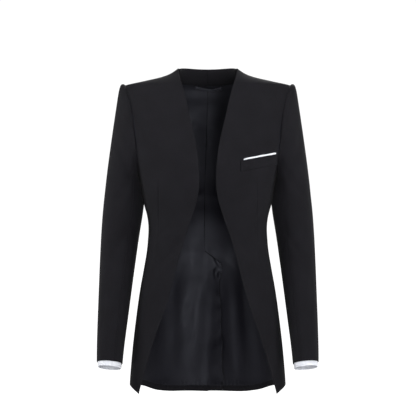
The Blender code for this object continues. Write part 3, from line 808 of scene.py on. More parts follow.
def seam_distance(z, behind):
    """How far from the centre line a front or back ends at a height: at its side seam or armhole."""
    seam, armhole = (back_seam, armhole_back) if behind else (front_seam, armhole_front)
    return np.where(z < CHEST_LEVEL, half_width(z) * np.cos(np.radians(seam(z))), armhole(z))


def dart_place(share):
    """Places and heights on the line of a dart, from its top (share 0) to its lower end (share 1)."""
    return tuple(top + (end - top) * share for top, end in zip(DART_TOP, DART_END))


def torso_creases(angle, z, x, side_name, behind):
    """How far the torso's cloth is moved out by its creases, darts and turned edge, less at its seams."""
    table = (BACK_CREASES if behind else FRONT_CREASES)[side_name]
    moved = crease_depth(table, angle, z, TORSO_SCALE)
    moved += SKIRT_WAVE * np.sin(z * 21.0 + np.radians(angle) * 3.0) * smooth_step((SKIRT_TOP - z) / 0.2)
    moved *= smooth_step((seam_distance(z, behind) - np.abs(x)) / SEAM_FADE)
    moved *= smooth_step((top_height(x) - z) / TOP_FADE)
    if behind:
        moved *= smooth_step(np.abs(np.abs(angle) - 90.0) / 5.0)
    else:
        line, _ = dart_place(np.clip((DART_TOP[1] - z) / (DART_TOP[1] - DART_END[1]), 0.0, 1.0))
        fade = smooth_step((DART_TOP[1] - z) / 0.03) * smooth_step((z - DART_END[1]) / 0.03)
        moved -= DART_DEPTH * fade * np.exp(-(((x - line) / DART_WIDTH) ** 2))
        moved += EDGE_ROLL * np.exp(-(((x - front_edge(z)) / EDGE_ROLL_WIDTH) ** 2))
    return moved


def worn(grid, side_name, behind, depth=0.0, extra=0.0):
    """Points of a torso layer: the form with its creases, less a depth, plus extra."""
    moved = torso_creases(grid[..., 3], grid[..., 2], grid[..., 0], side_name, behind) - depth + extra
    made = grid.copy()
    made[..., :3] += form_normals(grid[..., :3], behind) * moved[..., None]
    return made


def mirrored(grid, side_name):
    """Points of the left side, or on the right side their mirror image."""
    return grid * (SIDES[side_name], *np.ones(grid.shape[-1] - 1))


def with_dart_columns(grid, rims):
    """A front's rows spaced anew, with close columns beside the dart's line."""
    made = []
    for row, run in zip(grid, run_along(grid, 1)):
        middle = np.interp(-DART_TOP[0], -row[:, 0], run)
        middle = min(max(middle, 0.2 * run[-1]), 0.8 * run[-1])
        first = stations(middle, 0.0, 0.0, (rims[0], DART_REACH), DART_COLUMNS[0])[:-4]
        last = stations(run[-1] - middle, 0.0, 0.0, (DART_REACH, rims[1]), DART_COLUMNS[1])[4:]
        at = np.concatenate((first, middle + DART_STATIONS * DART_WIDTH, middle + last))
        made.append(interpolated(at, run, row))
    return np.array(made)


def build_front(side_name, looks):
    rims = (EDGE_RIM, SEAM_RIM, SEAM_RIM, EDGE_RIM)
    grid = with_dart_columns(torso_grid(False, front_edge, front_top), rims[2:])
    grid = respaced(grid, 0, FRONT_ROWS, (0.0, 0.0), rims[:2])
    grid = worn(grid, side_name, False)
    # At the shoulder seam the front laps the back
    grid[-3:, :, 1] -= SEAM_GAP
    sew("shell_front", "front", grid, CREPE, rims, looks, "black_crepe", side_name)


def build_side(side_name, looks):
    rims = (EDGE_RIM, SEAM_RIM, SEAM_RIM, SEAM_RIM)
    grid = placed(side_grid(), (0.0, 0.0, SEAM_GAP, SEAM_GAP), rims)
    sew("shell_side", "side", grid, CREPE, rims, looks, "black_crepe", side_name)


def below_vent(z):
    """0 above the vent's top and 1 below its corner."""
    return np.clip((VENT_TOP - z) / (VENT_TOP - VENT_CORNER), 0.0, 1.0)


def waves(table, z):
    """The sum of a table's waves at heights."""
    return sum(height * np.sin(z * turns + start) for height, turns, start in table)


def wavy_vent_edge(z):
    """The vent's free edge, with the small waves of its soft turned cloth."""
    return vent_edge(z) + waves(EDGE_WAVES, z) * smooth_step((VENT_CORNER - z) / 0.02)


def vent_reach(z):
    """How far the right back's underlay runs past the centre, as a place from the centre line."""
    return SEAM_GAP - (wavy_vent_edge(z) + SEAM_GAP) * smooth_step(below_vent(z))


def inner_low(grid, x, width, z, height):
    """1 far enough past x towards the centre and below z, and 0 before, with a soft width and height."""
    return smooth_step((x - grid[..., 0]) / width) * smooth_step((z - grid[..., 2]) / height)


def vent_step(grid):
    """How far the right back steps in at the vent, under the left back's edge."""
    return -VENT_STEP * inner_low(grid, 0.009, 0.009, VENT_TOP + 0.004, 0.012)


def vent_wave(grid):
    """How far the vent's underlay hangs in from the left back, with the slight waves of its free edge."""
    return -inner_low(grid, 0.004, 0.036, VENT_FREE, 0.05) * (FLAP_LIFT + waves(FLAP_WAVES, grid[..., 2]))


def build_back(side_name, looks):
    right = side_name == "right"
    rims = (EDGE_RIM, SEAM_RIM, SEAM_RIM, EDGE_RIM)
    grid = torso_grid(True, vent_reach if right else lambda z: SEAM_GAP, top_height)
    grid = placed(grid, (0.0, 0.0, SEAM_GAP, 0.0), rims)
    grid = worn(grid, side_name, True, extra=vent_step(grid) + vent_wave(grid) if right else 0.0)
    near_hem = smooth_step((HEM_WAVE_TOP - grid[..., 2]) / 0.05)
    grid[..., 2] += HEM_WAVE * near_hem * np.sin(grid[..., 0] * 48.0 + SIDES[side_name])
    if right:
        grid[..., 2] += UNDERLAY_RISE * near_hem * smooth_step((0.004 - grid[..., 0]) / 0.012)
    sew("shell_back", "back", grid, CREPE, rims, looks, "black_crepe", side_name)


def lining_reach_left(z):
    """The left lining's inner edge: the centre seam, and beside the underlay from the vent's top down."""
    tucked = LEFT_LINING_EDGE - LEFT_LINING_TUCK * smooth_step((VENT_FREE - z) / 0.03)
    return (SEAM_GAP - lining_seam(z)) * (1.0 - below_vent(z)) + tucked * below_vent(z)


def lining_reach_right(z):
    """The right lining's inner edge, a little short of the underlay's edge."""
    share = below_vent(z)
    return (SEAM_GAP + lining_seam(z)) * (1.0 - share) - (wavy_vent_edge(z) - 0.0012) * share


def facing_low(x):
    """The height of the neck facing's lower edge, which rises to the sides of the neck."""
    return FACING_EDGE + FACING_EDGE_RISE * smooth_step((np.abs(x) - FACING_EDGE_FLAT) / FACING_EDGE_SPREAD)


def lining_top(x):
    return np.minimum(facing_low(x) - 0.0002, top_height(x) - 0.004)


def lining_step(grid):
    """How far the right lining goes in over the vent's underlay, spread wide so that it lies smooth."""
    return -VENT_STEP * inner_low(grid, 0.050, 0.055, LINING_TURN_TOP, LINING_TURN_RUN)


def knot_depth(x, z):
    """How far the knot at the vent's top and the uneven ring of pulled cloth round it stand inwards."""
    u, v = (x + KNOT[0]) / KNOT_SIZE[0], (z - KNOT[1]) / KNOT_SIZE[1]
    r, turn = np.hypot(u, v), np.arctan2(v, u)
    ring = np.exp(-(((r - 2.0 - 0.3 * np.sin(3.0 * turn)) / 0.55) ** 2))
    return KNOT_HEIGHT * (np.exp(-r * r) + 0.45 * ring * (1.0 + 0.8 * np.sin(2.0 * turn + 0.6)))


def lining_wrinkles(grid, side_name):
    """The lining's own folds, the puckers at its hem and free edge, and the knot at the vent's top."""
    x, z, angle = grid[..., 0], grid[..., 2], grid[..., 3]
    moved = crease_depth(LINING_CREASES[side_name], angle, z, TORSO_SCALE)
    hem = smooth_step((LINING_PUCKER_TOP - z) / 0.018)
    moved -= LINING_PUCKER * hem * (1.0 + np.sin(angle * 2.9) * np.sin(angle * 0.83 + 1.0))
    if side_name == "right":
        moved -= knot_depth(x, z)
        edge = smooth_step(1.0 - (x + wavy_vent_edge(z) + 0.001) / 0.010)
        edge *= smooth_step((LINING_EDGE_PUCKER_TOP - z) / 0.04)
        puckers = 1.0 + 0.6 * np.sin(z * 158.0 + x * 90.0) + 0.4 * np.sin(z * 97.0 + 2.0)
        moved -= LINING_EDGE_PUCKER * edge * puckers
    else:
        over = inner_low(grid, 0.075, 0.035, LINING_TURN_TOP, LINING_TURN_RUN)
        moved -= VENT_STEP * over * smooth_step((z - VENT_CORNER + 0.036) / 0.04)
    moved -= LINING_WAVE * (1.0 + np.sin(z * 46.0 + angle * 0.11))
    place, half, depth = LINING_FULLNESS
    middle = -place if side_name == "right" else place
    level = smooth_step((-0.040 - z) / 0.06) * smooth_step((z + 0.300) / 0.10)
    return moved - depth * level * np.exp(-(((x - middle) / half) ** 2))


def build_lining(side_name, look):
    right = side_name == "right"
    rims = (LINING_RIM,) * 4
    reach = lining_reach_right if right else lining_reach_left
    grid = torso_grid(True, reach, lining_top, LINING_HEM / (CHEST_LEVEL - hem_height(0.0)))
    grid = placed(grid, (0.0, 0.0, SEAM_GAP, 0.0), rims, LINING_STEP)
    extra = lining_wrinkles(grid, side_name)
    if right:
        extra = extra + lining_step(grid) + vent_wave(grid)
    grid = worn(grid, side_name, True, LINING_DEPTH, np.minimum(extra, LINING_OUT))
    sew("satin_lining", "lining", grid, LINING, rims, (look,), "black_satin_lining", side_name)


def build_facing(side_name, look):
    """Half of the back neck facing, from the side of the neck to the centre seam."""
    s = np.linspace(0.0, 1.0, 60)[None, :]
    t = np.linspace(0.0, 1.0, 40)[:, None]
    x = (NECK_HALF_WIDTH - 0.0006) * (1.0 - s) + SEAM_GAP * s
    z = facing_low(x) * (1.0 - t) + (top_height(x) - 0.0004) * t
    grid = placed(with_angle(x, z, True), (0.0, 0.0, 0.0, 0.0), FACING_RIMS, FACING_STEP)
    grid = worn(grid, side_name, True, FACING_DEPTH)
    sew("neck_band", "neck_facing", grid, FACING, FACING_RIMS, (look,), "black_crepe", side_name)


def armhole_loop():
    """The left armhole's angles round the sleeve and its points, down the front and up the back.

    The angle is 0 at the shoulder tip and half a turn underneath.
    """
    z = np.linspace(SHOULDER_TIP_LEVEL, CHEST_LEVEL, 160)
    bottom = side_grid()[-1, :, :3]
    middle = len(bottom) // 2
    down = np.concatenate((form_points(armhole_front(z), z, False), bottom[1:middle]))
    up = np.concatenate((bottom[middle:-1], form_points(armhole_back(z), z, True)[::-1]))
    points = np.concatenate((down, up))
    steps = run_along(points, 0)
    turn = steps[len(down)]
    low = math.pi * steps / turn
    high = math.pi + math.pi * (steps - turn) / (steps[-1] - turn)
    return np.where(steps <= turn, low, high), points


def seam_angle(level, behind, loop):
    """The angle round the sleeve of an armhole point at a height."""
    part = loop[0] > math.pi if behind else loop[0] < math.pi
    heights, angles = loop[1][part, 2], loop[0][part]
    order = np.argsort(heights)
    return float(np.interp(level, heights[order], angles[order]))


def ring_points(value, angle):
    """Points of one sleeve ring at angles round it, a rounded oval that leans with the forearm."""
    across, forward = (np.sign(f) * np.abs(f) ** (2.0 / RING_ROUND) for f in (np.cos(angle), np.sin(angle)))
    share = (across + 1.0) / 2.0
    forward = forward * value["half_depth"]
    x = value["inner_x"] + (value["outer_x"] - value["inner_x"]) * share
    z = value["inner_z"] + (value["outer_z"] - value["inner_z"]) * share
    z = z + forward * np.tan(np.radians(value["tilt"]))
    return np.stack(np.broadcast_arrays(x, value["centre_y"] - forward, z), -1)


def sleeve_points(k, angle, loop):
    """Points of the left sleeve at rings k and angles round it, without creases.

    The first ring is the armhole itself. Lower down the sleeve stays outside the torso's form.
    """
    value = {name: ring_value[name](k) for name in RING_COLUMNS}
    first = dict(zip(RING_COLUMNS, RINGS[0]))
    on_loop = interpolated(angle.ravel() % (2 * math.pi), *loop).reshape(*angle.shape, 3)
    points = ring_points(value, angle) + (on_loop - ring_points(first, angle)) * value["armhole"][..., None]
    x, y, z = points[..., 0], points[..., 1], points[..., 2]
    depth = np.where(y > 0.0, back_depth(z), front_depth(z))
    share = np.clip(np.abs(y) / depth, 0.0, 1.0) ** (1.0 / roundness(z))
    body = half_width(z) * np.sqrt(np.maximum(1.0 - share, 0.0))
    points[..., 0] = np.where((z <= UNDERARM_LEVEL) & (k >= 0.8), np.maximum(x, body), x)
    return points


def sleeve_grid(first_angle, last_angle, low_ring, high_ring, loop):
    """Points of a length of the sleeve, with the angle round it in degrees as a fourth number."""
    k = np.linspace(high_ring, low_ring, 300)[:, None]
    angle = np.linspace(first_angle, last_angle, 150)[None, :]
    k, angle = np.broadcast_arrays(k, angle)
    return np.concatenate((sleeve_points(k, angle, loop), np.degrees(angle)[..., None]), -1)


def worn_sleeve(grid, side_name, closed=False, depth=0.0):
    """A sleeve's points with their creases and the roll at the sleeve head, less a depth."""
    points = grid[..., :3]
    normals = grid_normals(points, closed)
    if np.sum(normals * (points - points.mean(axis=1, keepdims=True))) < 0.0:
        normals = -normals
    degrees, z = grid[..., 3] % 360.0, grid[..., 2]
    from_inside = np.abs(degrees - 180.0)
    moved = crease_depth(SLEEVE_CREASES[side_name], degrees, z, SLEEVE_SCALE)
    moved *= smooth_step((from_inside - 25.0) / 40.0) * smooth_step((-0.07 - z) / 0.05)
    moved *= smooth_step((z + 0.700) / 0.04)
    run = run_along(points, 0)
    head = np.exp(-(((run[-1:, :] - run - SLEEVE_HEAD_AT) / SLEEVE_HEAD_WIDTH) ** 2))
    moved = moved + SLEEVE_HEAD_ROLL * head * smooth_step((from_inside - 90.0) / 60.0)
    made = grid.copy()
    made[..., :3] += normals * (moved - depth)[..., None]
    return made


def sleeve_axis(grid):
    """The middle of the sleeve at each row of a grid, to tell its outer side by."""
    heights = grid[..., 2].mean(axis=1)
    ring_levels = [-(row[1] + row[3]) / 2 for row in RINGS]
    k = np.interp(-heights, ring_levels, range(len(RINGS)))
    x = (ring_value["outer_x"](k) + ring_value["inner_x"](k)) / 2 * np.sign(grid[..., 0].mean(axis=1))
    return np.stack((x, ring_value["centre_y"](k), heights), -1)[:, None, :]


def build_sleeve(side_name, loop, looks, white):
    """The under and the top sleeve, and the white cuff that stands out of them."""
    forearm = seam_angle(FOREARM_SEAM_LEVEL, False, loop)
    hindarm = seam_angle(HINDARM_SEAM_LEVEL, True, loop)
    rims = (EDGE_RIM, SEAM_RIM, SEAM_RIM, SEAM_RIM)
    gaps = (0.0, SEAM_GAP, SEAM_GAP, SEAM_GAP)
    for part, first, last in (("under", forearm, hindarm), ("top", hindarm, forearm + 2 * math.pi)):
        grid = placed(sleeve_grid(first, last, 0.0, HEM_RING, loop), gaps, rims, SLEEVE_STEP)
        name, node, grid = f"shell_{part}_sleeve", f"{part}_sleeve", worn_sleeve(grid, side_name)
        sew(name, node, grid, SLEEVE_CREPE, rims, looks, "black_crepe", side_name, middle_line=sleeve_axis)
    grid = sleeve_grid(0.0, 2 * math.pi, CUFF_TOP_RING, len(RINGS) - 1, loop)
    grid = respaced(grid[:, :-1], 0, CUFF_ROWS, (0.0, 0.0), CUFF_RIMS[:2])
    grid = worn_sleeve(grid, side_name, True, SLEEVE_CREPE + CUFF_GAP)
    shape = {"closed": True, "middle_line": sleeve_axis}
    sew("white_cuff", "cuff", grid, POPLIN, CUFF_RIMS, (white,), "white_poplin", side_name, **shape)


def on_front(x, z, side_name, lift):
    """Points on the worn left or right front, lifted off it."""
    return worn(with_angle(x, z, False), side_name, False, -lift)


def welt_place(across, up):
    """Places on the welt: across and up from its middle, along its slope."""
    x = WELT_CENTRE[0] + across * math.cos(WELT_SLOPE)
    z = WELT_CENTRE[1] + across * math.sin(WELT_SLOPE) + up
    return np.broadcast_arrays(x, z)


def build_welt(looks, white):
    """The welt, with its turned edges, and the white cloth that stands out of it."""
    across = np.linspace(-0.5, 0.5, 120)[None, :] * WELT_WIDTH
    up = np.linspace(-0.5, 0.5, 60)[:, None] * WELT_HEIGHT
    grid = on_front(*welt_place(across, up), "left", WELT_LIFT + WELT_CLOTH)
    bulge = WELT_BULGE * np.sin(np.pi * (up / WELT_HEIGHT + 0.5))
    grid[..., 1] -= bulge + WELT_WAVE * np.sin(across * 160.0)
    grid = placed(grid, (0.0, 0.0, 0.0, 0.0), WELT_RIMS, WELT_STEP)
    sew("shell_chest_welt", "chest_welt", grid, WELT_CLOTH, WELT_RIMS, looks, "black_crepe")

    across = np.linspace(-0.5, 0.5, 160)[None, :] * WHITE_EDGE_LENGTH
    share = np.linspace(0.0, 1.0, 40)[:, None]
    low = WELT_HEIGHT / 2 - WHITE_EDGE_TUCK
    end = np.clip((WHITE_EDGE_LENGTH / 2 - np.abs(across)) / 0.003, 0.0, 1.0)
    across = across + WHITE_EDGE_SHIFT
    high = WELT_HEIGHT / 2 + WHITE_EDGE_HEIGHT * (0.55 + 0.45 * end ** 0.5)
    up = low + (high + WELT_WAVE * np.sin(across * 210.0) - low) * share
    grid = on_front(*welt_place(across, up), "left", WHITE_EDGE_LIFT)
    # It bends over the top of the welt
    grid[..., 1] += 0.0006 - 0.0007 * smooth_step((share - 0.40) / 0.25)
    grid = placed(grid, (0.0, 0.0, 0.0, 0.0), WHITE_EDGE_RIMS, WHITE_EDGE_STEP)
    looks, slot = (white,), "white_poplin"
    sew("white_pocket_edge", "pocket_edge", grid, WHITE_EDGE_CLOTH, WHITE_EDGE_RIMS, looks, slot)


def path_frame(path, normals, closed=False):
    """Unit directions across a path and up from it, square to each other."""
    along = np.roll(path, -1, axis=0) - np.roll(path, 1, axis=0) if closed else np.gradient(path, axis=0)
    across = unit(np.cross(along, normals))
    return across, unit(np.cross(across, along))


def add_trim(name, points, faces, look, slot):
    """A closed trim piece, with its faces turned to the outside."""
    piece = add_piece(name, points, faces, (look,), slot)
    mesh = bmesh.new()
    mesh.from_mesh(piece.data)
    bmesh.ops.recalc_face_normals(mesh, faces=mesh.faces)
    mesh.to_mesh(piece.data)
    mesh.free()
    return piece


def tube(name, path, frame_of_path, half_sizes, sides, look, slot, closed=False, power=1.0):
    """A trim piece along a path. half_sizes give its half width and half thickness at each point."""
    turn = np.linspace(0.0, 2 * np.pi, sides, endpoint=False)
    points = path[:, None]
    for direction, half, turned in zip(frame_of_path, half_sizes, (np.cos(turn), np.sin(turn))):
        ring = np.sign(turned) * np.abs(turned) ** power
        points = points + direction[:, None] * (ring[None] * half[:, None])[..., None]
    index = np.arange(len(path) * sides).reshape(-1, sides)
    beside = np.roll(index, -1, axis=1)
    ring = (index, beside, np.roll(beside, -1, axis=0), np.roll(index, -1, axis=0))
    faces = np.stack(ring, -1)[:None if closed else -1].reshape(-1, 4).tolist()
    if not closed:
        faces += [index[0, ::-1].tolist(), index[-1].tolist()]
    return add_trim(name, points, faces, look, slot)


def build_armhole_tape(side_name, loop, look):
    """The bound seam allowance inside an armhole, which closes the seam from behind."""
    path = mirrored(loop[1][::3], side_name)
    across, inward = path_frame(path, path.mean(axis=0) - path, closed=True)
    sizes = (np.full(len(path), TAPE_RADIUS),) * 2
    name, path = f"armhole_tape_{side_name}", path + inward * TAPE_DEPTH
    tube(name, path, (across, inward), sizes, 12, look, "black_satin_lining", closed=True)


def build_loop(look):
    """The hanger loop: a flat turned strip, lowest left of its middle and sewn down at both ends."""
    share = np.linspace(0.0, 1.0, 90)
    from_end = np.minimum(share, 1.0 - share)
    x = LOOP_RIGHT + (LOOP_LEFT - LOOP_RIGHT) * share
    slack = np.minimum(share / LOOP_LOWEST, (1.0 - share) / (1.0 - LOOP_LOWEST))
    z = LOOP_LEVEL - LOOP_TILT * (share - 0.5) - LOOP_SAG * smooth_step((slack - 0.12) / 0.9)
    points = form_points(x, z, True)
    inward = -form_normals(points, True)
    rest = np.clip(from_end / 0.10, 0.0, 1.0)
    path = points + inward * (LOOP_DEPTH * (0.84 + 0.16 * smooth_step(rest)))[:, None]
    # The ends are wider where they are sewn down, and closed round
    tabs = 1.0 - smooth_step(rest * 2.0 - 0.8)
    wide = 1.0 + 0.04 * np.sin(share * 41.0) + 0.18 * np.sin(np.pi * share ** 2) + 0.45 * tabs
    thick = 1.15 + 0.22 * np.sin(share * 27.0 + 1.0) + 0.3 * tabs
    ends = np.clip(from_end / 0.006, 0.0, 1.0) ** 0.5
    sizes = (LOOP_WIDTH / 2 * wide * ends, LOOP_THICKNESS / 2 * thick * ends)
    frame_of_path, slot = path_frame(path, inward), "black_satin_lining"
    piece = tube("satin_hanger_loop", path, frame_of_path, sizes, 20, look, slot, power=0.7)
    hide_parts("hanger_loop")


def painted_shade_line(name, path, normals, size, look, slot):
    """A narrow flat near-black strip along a path: painted shade for the shadow in a seam's groove."""
    from_end = np.minimum(np.arange(len(path)), np.arange(len(path))[::-1])
    taper = np.minimum(1.0, from_end / 6.0 + 0.12)
    tube(name, path, path_frame(path, normals), [taper * part / 2 for part in size], 8, look, slot)


def stitches(name, path, normals, size, look, slot):
    """Small sewn stitches along a path of points, half sunk in the cloth, as one piece."""
    length, gap, radius = size
    run = run_along(path, 0)
    starts = np.arange(gap, run[-1] - length, length + gap)
    first = interpolated(starts, run, path)
    along = interpolated(starts + length, run, path) - first
    up = unit(interpolated(starts + length / 2, run, normals))
    across = unit(np.cross(along, up))
    # Each stitch swells from a thin start: share of its length, and share of its radius
    shares, widths = np.array(((0.0, 0.15), (0.2, 0.8), (0.5, 1.0), (0.8, 0.8), (1.0, 0.15))).T[..., None]
    turn = np.linspace(0.0, 2 * np.pi, 6, endpoint=False)[:, None]
    centres = first[:, None] + along[:, None] * shares + up[:, None] * radius * 0.4 * widths
    spokes = across[:, None] * np.cos(turn) + up[:, None] * np.sin(turn)
    points = centres[:, :, None] + spokes[:, None] * radius * widths[:, None]
    index = np.arange(points.size // 3).reshape(points.shape[:3])
    beside = np.roll(index, -1, axis=2)
    quads = np.stack((index[:, :-1], beside[:, :-1], beside[:, 1:], index[:, 1:]), -1).reshape(-1, 4)
    faces = quads.tolist() + index[:, 0, ::-1].tolist() + index[:, -1].tolist()
    add_trim(name, points, faces, look, slot)


def inside_line(name, x, z, depth, size, look):
    """A painted shade line of a seam on the inner side of the back, at a depth under its form."""
    path = form_points(x, z, True)
    normals = form_normals(path, True)
    painted_shade_line(name, path - normals * depth[:, None], normals, size, look, "black_satin_lining")


def front_path(x, z, side_name, lift):
    """A line of points on a worn front, lifted off it, and its outward directions."""
    path = on_front(x[None], z[None], side_name, lift)[0, :, :3]
    return path, form_normals(path, False)


def lining_depth_at(x, z):
    """The depth of the lining's visible side under the form, with x as on the right lining."""
    angle = -edge_angle(x, z)
    grid = np.stack((x, np.zeros_like(x), z, angle), -1)
    moved = lining_wrinkles(grid, "right") + lining_step(grid) + vent_wave(grid)
    return LINING_DEPTH + LINING - np.minimum(moved, LINING_OUT) - torso_creases(angle, z, x, "right", True)


def seam_lines(look):
    """Painted shade lines for the lining's centre seam and its slant over the vent, the facing's centre
    seam and the darts.
    """
    z = np.linspace(lining_top(0.0) - 0.001, VENT_TOP + 0.004, 200)
    depth = lining_depth_at(lining_seam(z), z)
    inside_line("seam_shade_lining_centre", -lining_seam(z), z, depth, LINING_LINE, look)
    z = VENT_TOP + (VENT_CORNER - VENT_TOP) * np.linspace(0.0, 1.0, 60)
    x = -lining_reach_right(z)
    inside_line("seam_shade_lining_slant", x, z, lining_depth_at(-x, z) + 0.0006, SLANT_LINE, look)
    z = np.linspace(FACING_EDGE + 0.0008, top_height(0.0) - 0.0012, 40)
    depth = np.full_like(z, FACING_DEPTH + FACING + 0.0002)
    inside_line("seam_shade_facing_centre", 0.0 * z, z, depth, FACING_LINE, look)
    share = np.linspace(0.0, 1.0, 120)
    x, _ = dart_place(share)
    z = DART_TOP[1] + 0.010 + (DART_END[1] - DART_TOP[1] + 0.006) * share
    for side_name in SIDES:
        path, normals = (mirrored(line, side_name) for line in front_path(x, z, side_name, -0.0001))
        painted_shade_line(f"seam_shade_dart_{side_name}", path, normals, DART_LINE, look, "black_crepe")


def facing_stitching(look):
    """The hand stitches that hold the lining to the facing's lower edge."""
    x = np.linspace(-0.045, 0.045, 160)
    points = form_points(x, facing_low(x) + 0.0004, True)
    inward = -form_normals(points, True)
    path = points + inward * (FACING_DEPTH + FACING + 0.0001)
    stitches("stitch_facing", path, inward, FACING_STITCH, look, "black_satin_lining")


def welt_lines(inset, names, lift):
    """Lines along the welt's inner end, its lower side and its outer end, one for each name."""
    side, high = WELT_WIDTH / 2 - inset, WELT_HEIGHT / 2 - inset
    corners = ((-side, high), (-side, -high), (side, -high), (side, high))
    share = np.linspace(0.0, 1.0, 80)
    for name, start, end in zip(names, corners, corners[1:]):
        across, up = (low + (top - low) * share for low, top in zip(start, end))
        yield name, *front_path(*welt_place(across, up), "left", lift)


def welt_trim(stitch_look, shade_line_look):
    """The stitching along the welt's edges, and a fine painted shade line where it meets the front."""
    edges, lift = ("end_a", "lower", "end_b"), WELT_LIFT + WELT_CLOTH
    for name, path, normals in welt_lines(WELT_STITCH_INSET, edges, lift):
        stitches(f"stitch_welt_{name}", path, normals, WELT_STITCH, stitch_look, "black_crepe")
    for name, path, normals in welt_lines(0.0, ("end", "lower"), 0.0005):
        painted_shade_line(f"seam_shade_welt_{name}", path, normals, WELT_LINE, shade_line_look, "black_crepe")


def cuff_stitching(side_name, loop, look):
    """The fold stitch of a white cuff."""
    angle = np.linspace(0.0, 2 * math.pi, 240)
    points = mirrored(sleeve_points(np.full_like(angle, HEM_RING + 0.72), angle, loop), side_name)
    normals = unit(points - points.mean(axis=0))
    path = points - normals * (SLEEVE_CREPE + CUFF_GAP)
    stitches(f"stitch_cuff_{side_name}", path, normals, CUFF_STITCH, look, "white_poplin")


def fill(tree, node, inputs):
    """Sets a node's inputs: each to a value, or to the output of another node."""
    for name, value in inputs.items():
        if isinstance(value, bpy.types.NodeSocket):
            tree.links.new(value, node.inputs[name])
        else:
            node.inputs[name].default_value = value
    return node


def add_node(tree, kind, inputs, **settings):
    node = tree.nodes.new(f"ShaderNode{kind}")
    for name, value in settings.items():
        setattr(node, name, value)
    return fill(tree, node, inputs)


def add_pattern(tree, place, kind, scale, *rest):
    """A noise, with its detail and roughness, or waves, with their direction."""
    if kind == "noise":
        inputs = {"Vector": place, "Scale": scale, "Detail": rest[0], "Roughness": rest[1]}
        return add_node(tree, "TexNoise", inputs).outputs["Fac"]
    inputs = {"Vector": place, "Scale": scale, "Distortion": 0.6}
    return add_node(tree, "TexWave", inputs, bands_direction=rest[0]).outputs["Fac"]


def make_look(name, patterns, colour, finish, roughness=None, bumps=()):
    """A material. patterns are named, and colour, roughness and bumps say which of them each follows.

    colour is two patterns, the dark and the light; roughness is a pattern and its range; each bump is a
    pattern, a strength and a depth in metres, laid one over another; finish is even all over.
    """
    look = bpy.data.materials.new(name)
    look.use_nodes = True
    tree = look.node_tree
    place = tree.nodes.new("ShaderNodeTexCoord").outputs["Object"]
    made = {key: add_pattern(tree, place, *row) for key, row in patterns.items()}
    shader = fill(tree, tree.nodes["Principled BSDF"], finish)
    first, second, dark, light = colour
    both = add_node(tree, "Math", {0: made[second], 1: 0.35, 2: made[first]}, operation="MULTIPLY_ADD")
    ramp = add_node(tree, "ValToRGB", {"Fac": both.outputs[0]})
    for element, position, shade in zip(ramp.color_ramp.elements, (0.45, 0.90), (dark, light)):
        element.position = position
        element.color = (*shade, 1.0)
    fill(tree, shader, {"Base Color": ramp.outputs["Color"]})
    if roughness:
        pattern, low, high = roughness
        limits = {"From Min": 0.3, "From Max": 0.7, "To Min": low, "To Max": high}
        spread = add_node(tree, "MapRange", {"Value": made[pattern], **limits})
        fill(tree, shader, {"Roughness": spread.outputs["Result"]})
    below = {}
    for pattern, strength, depth in bumps:
        inputs = {"Strength": strength, "Distance": depth, "Height": made[pattern], **below}
        below = {"Normal": add_node(tree, "Bump", inputs).outputs["Normal"]}
    fill(tree, shader, below)
    return look


def crepe_look(name, sheen):
    """Matt crepe: a fine crinkled grain, faint slubs and small changes of black."""
    return make_look(
        name,
        {
            "grain": ("noise", 1900.0, 3.0, 0.62),
            "slub": ("noise", 420.0, 2.0, 0.5),
            "patch": ("noise", 24.0, 3.0, 0.55),
        },
        colour=("patch", "grain", (0.0047, 0.0044, 0.0062), (0.0066, 0.0062, 0.0086)),
        roughness=("slub", 0.80, 0.93),
        bumps=(("slub", 0.35, 0.00035), ("grain", 0.55, 0.00022)),
        finish={"Specular IOR Level": 0.16, "Sheen Weight": sheen, "Sheen Roughness": 0.5},
    )


def satin_look(name, shine):
    """Satin: a fine diagonal of floats, soft ripples and a cool shine."""
    return make_look(
        name,
        {
            "ripple": ("noise", 70.0, 3.0, 0.5),
            "floats": ("waves", 1500.0, "DIAGONAL"),
            "patch": ("noise", 18.0, 2.0, 0.5),
        },
        colour=("patch", "floats", (0.0056, 0.0053, 0.0078), (0.0076, 0.0072, 0.0104)),
        roughness=("ripple", 0.37, 0.46),
        bumps=(("ripple", 0.16, 0.0010), ("floats", 0.25, 0.00008)),
        finish={
            "Specular IOR Level": shine,
            "Specular Tint": (0.83, 0.865, 1.0, 1.0),
            "Sheen Weight": 0.02,
            "Sheen Roughness": 0.4,
        },
    )


def poplin_look():
    """White poplin: a fine plain weave, slightly cool."""
    return make_look(
        "poplin_cloth",
        {
            "warp": ("waves", 1100.0, "X"),
            "weft": ("waves", 900.0, "Z"),
            "patch": ("noise", 45.0, 2.0, 0.5),
        },
        colour=("patch", "warp", (0.76, 0.78, 0.84), (0.84, 0.855, 0.90)),
        roughness=("patch", 0.66, 0.76),
        bumps=(("warp", 0.25, 0.00010), ("weft", 0.25, 0.00010)),
        finish={"Sheen Weight": 0.05},
    )


def thread_look(name, dark, light, shine):
    """Twisted thread between two blacks; the near-black pair also makes the painted shade of seam grooves.
    """
    return make_look(
        name,
        {"twist": ("waves", 2600.0, "DIAGONAL"), "patch": ("noise", 300.0, 2.0, 0.5)},
        colour=("patch", "twist", dark, light),
        roughness=("patch", 0.5, 0.7),
        bumps=(("twist", 0.4, 0.00006),),
        finish={"Specular IOR Level": shine},
    )


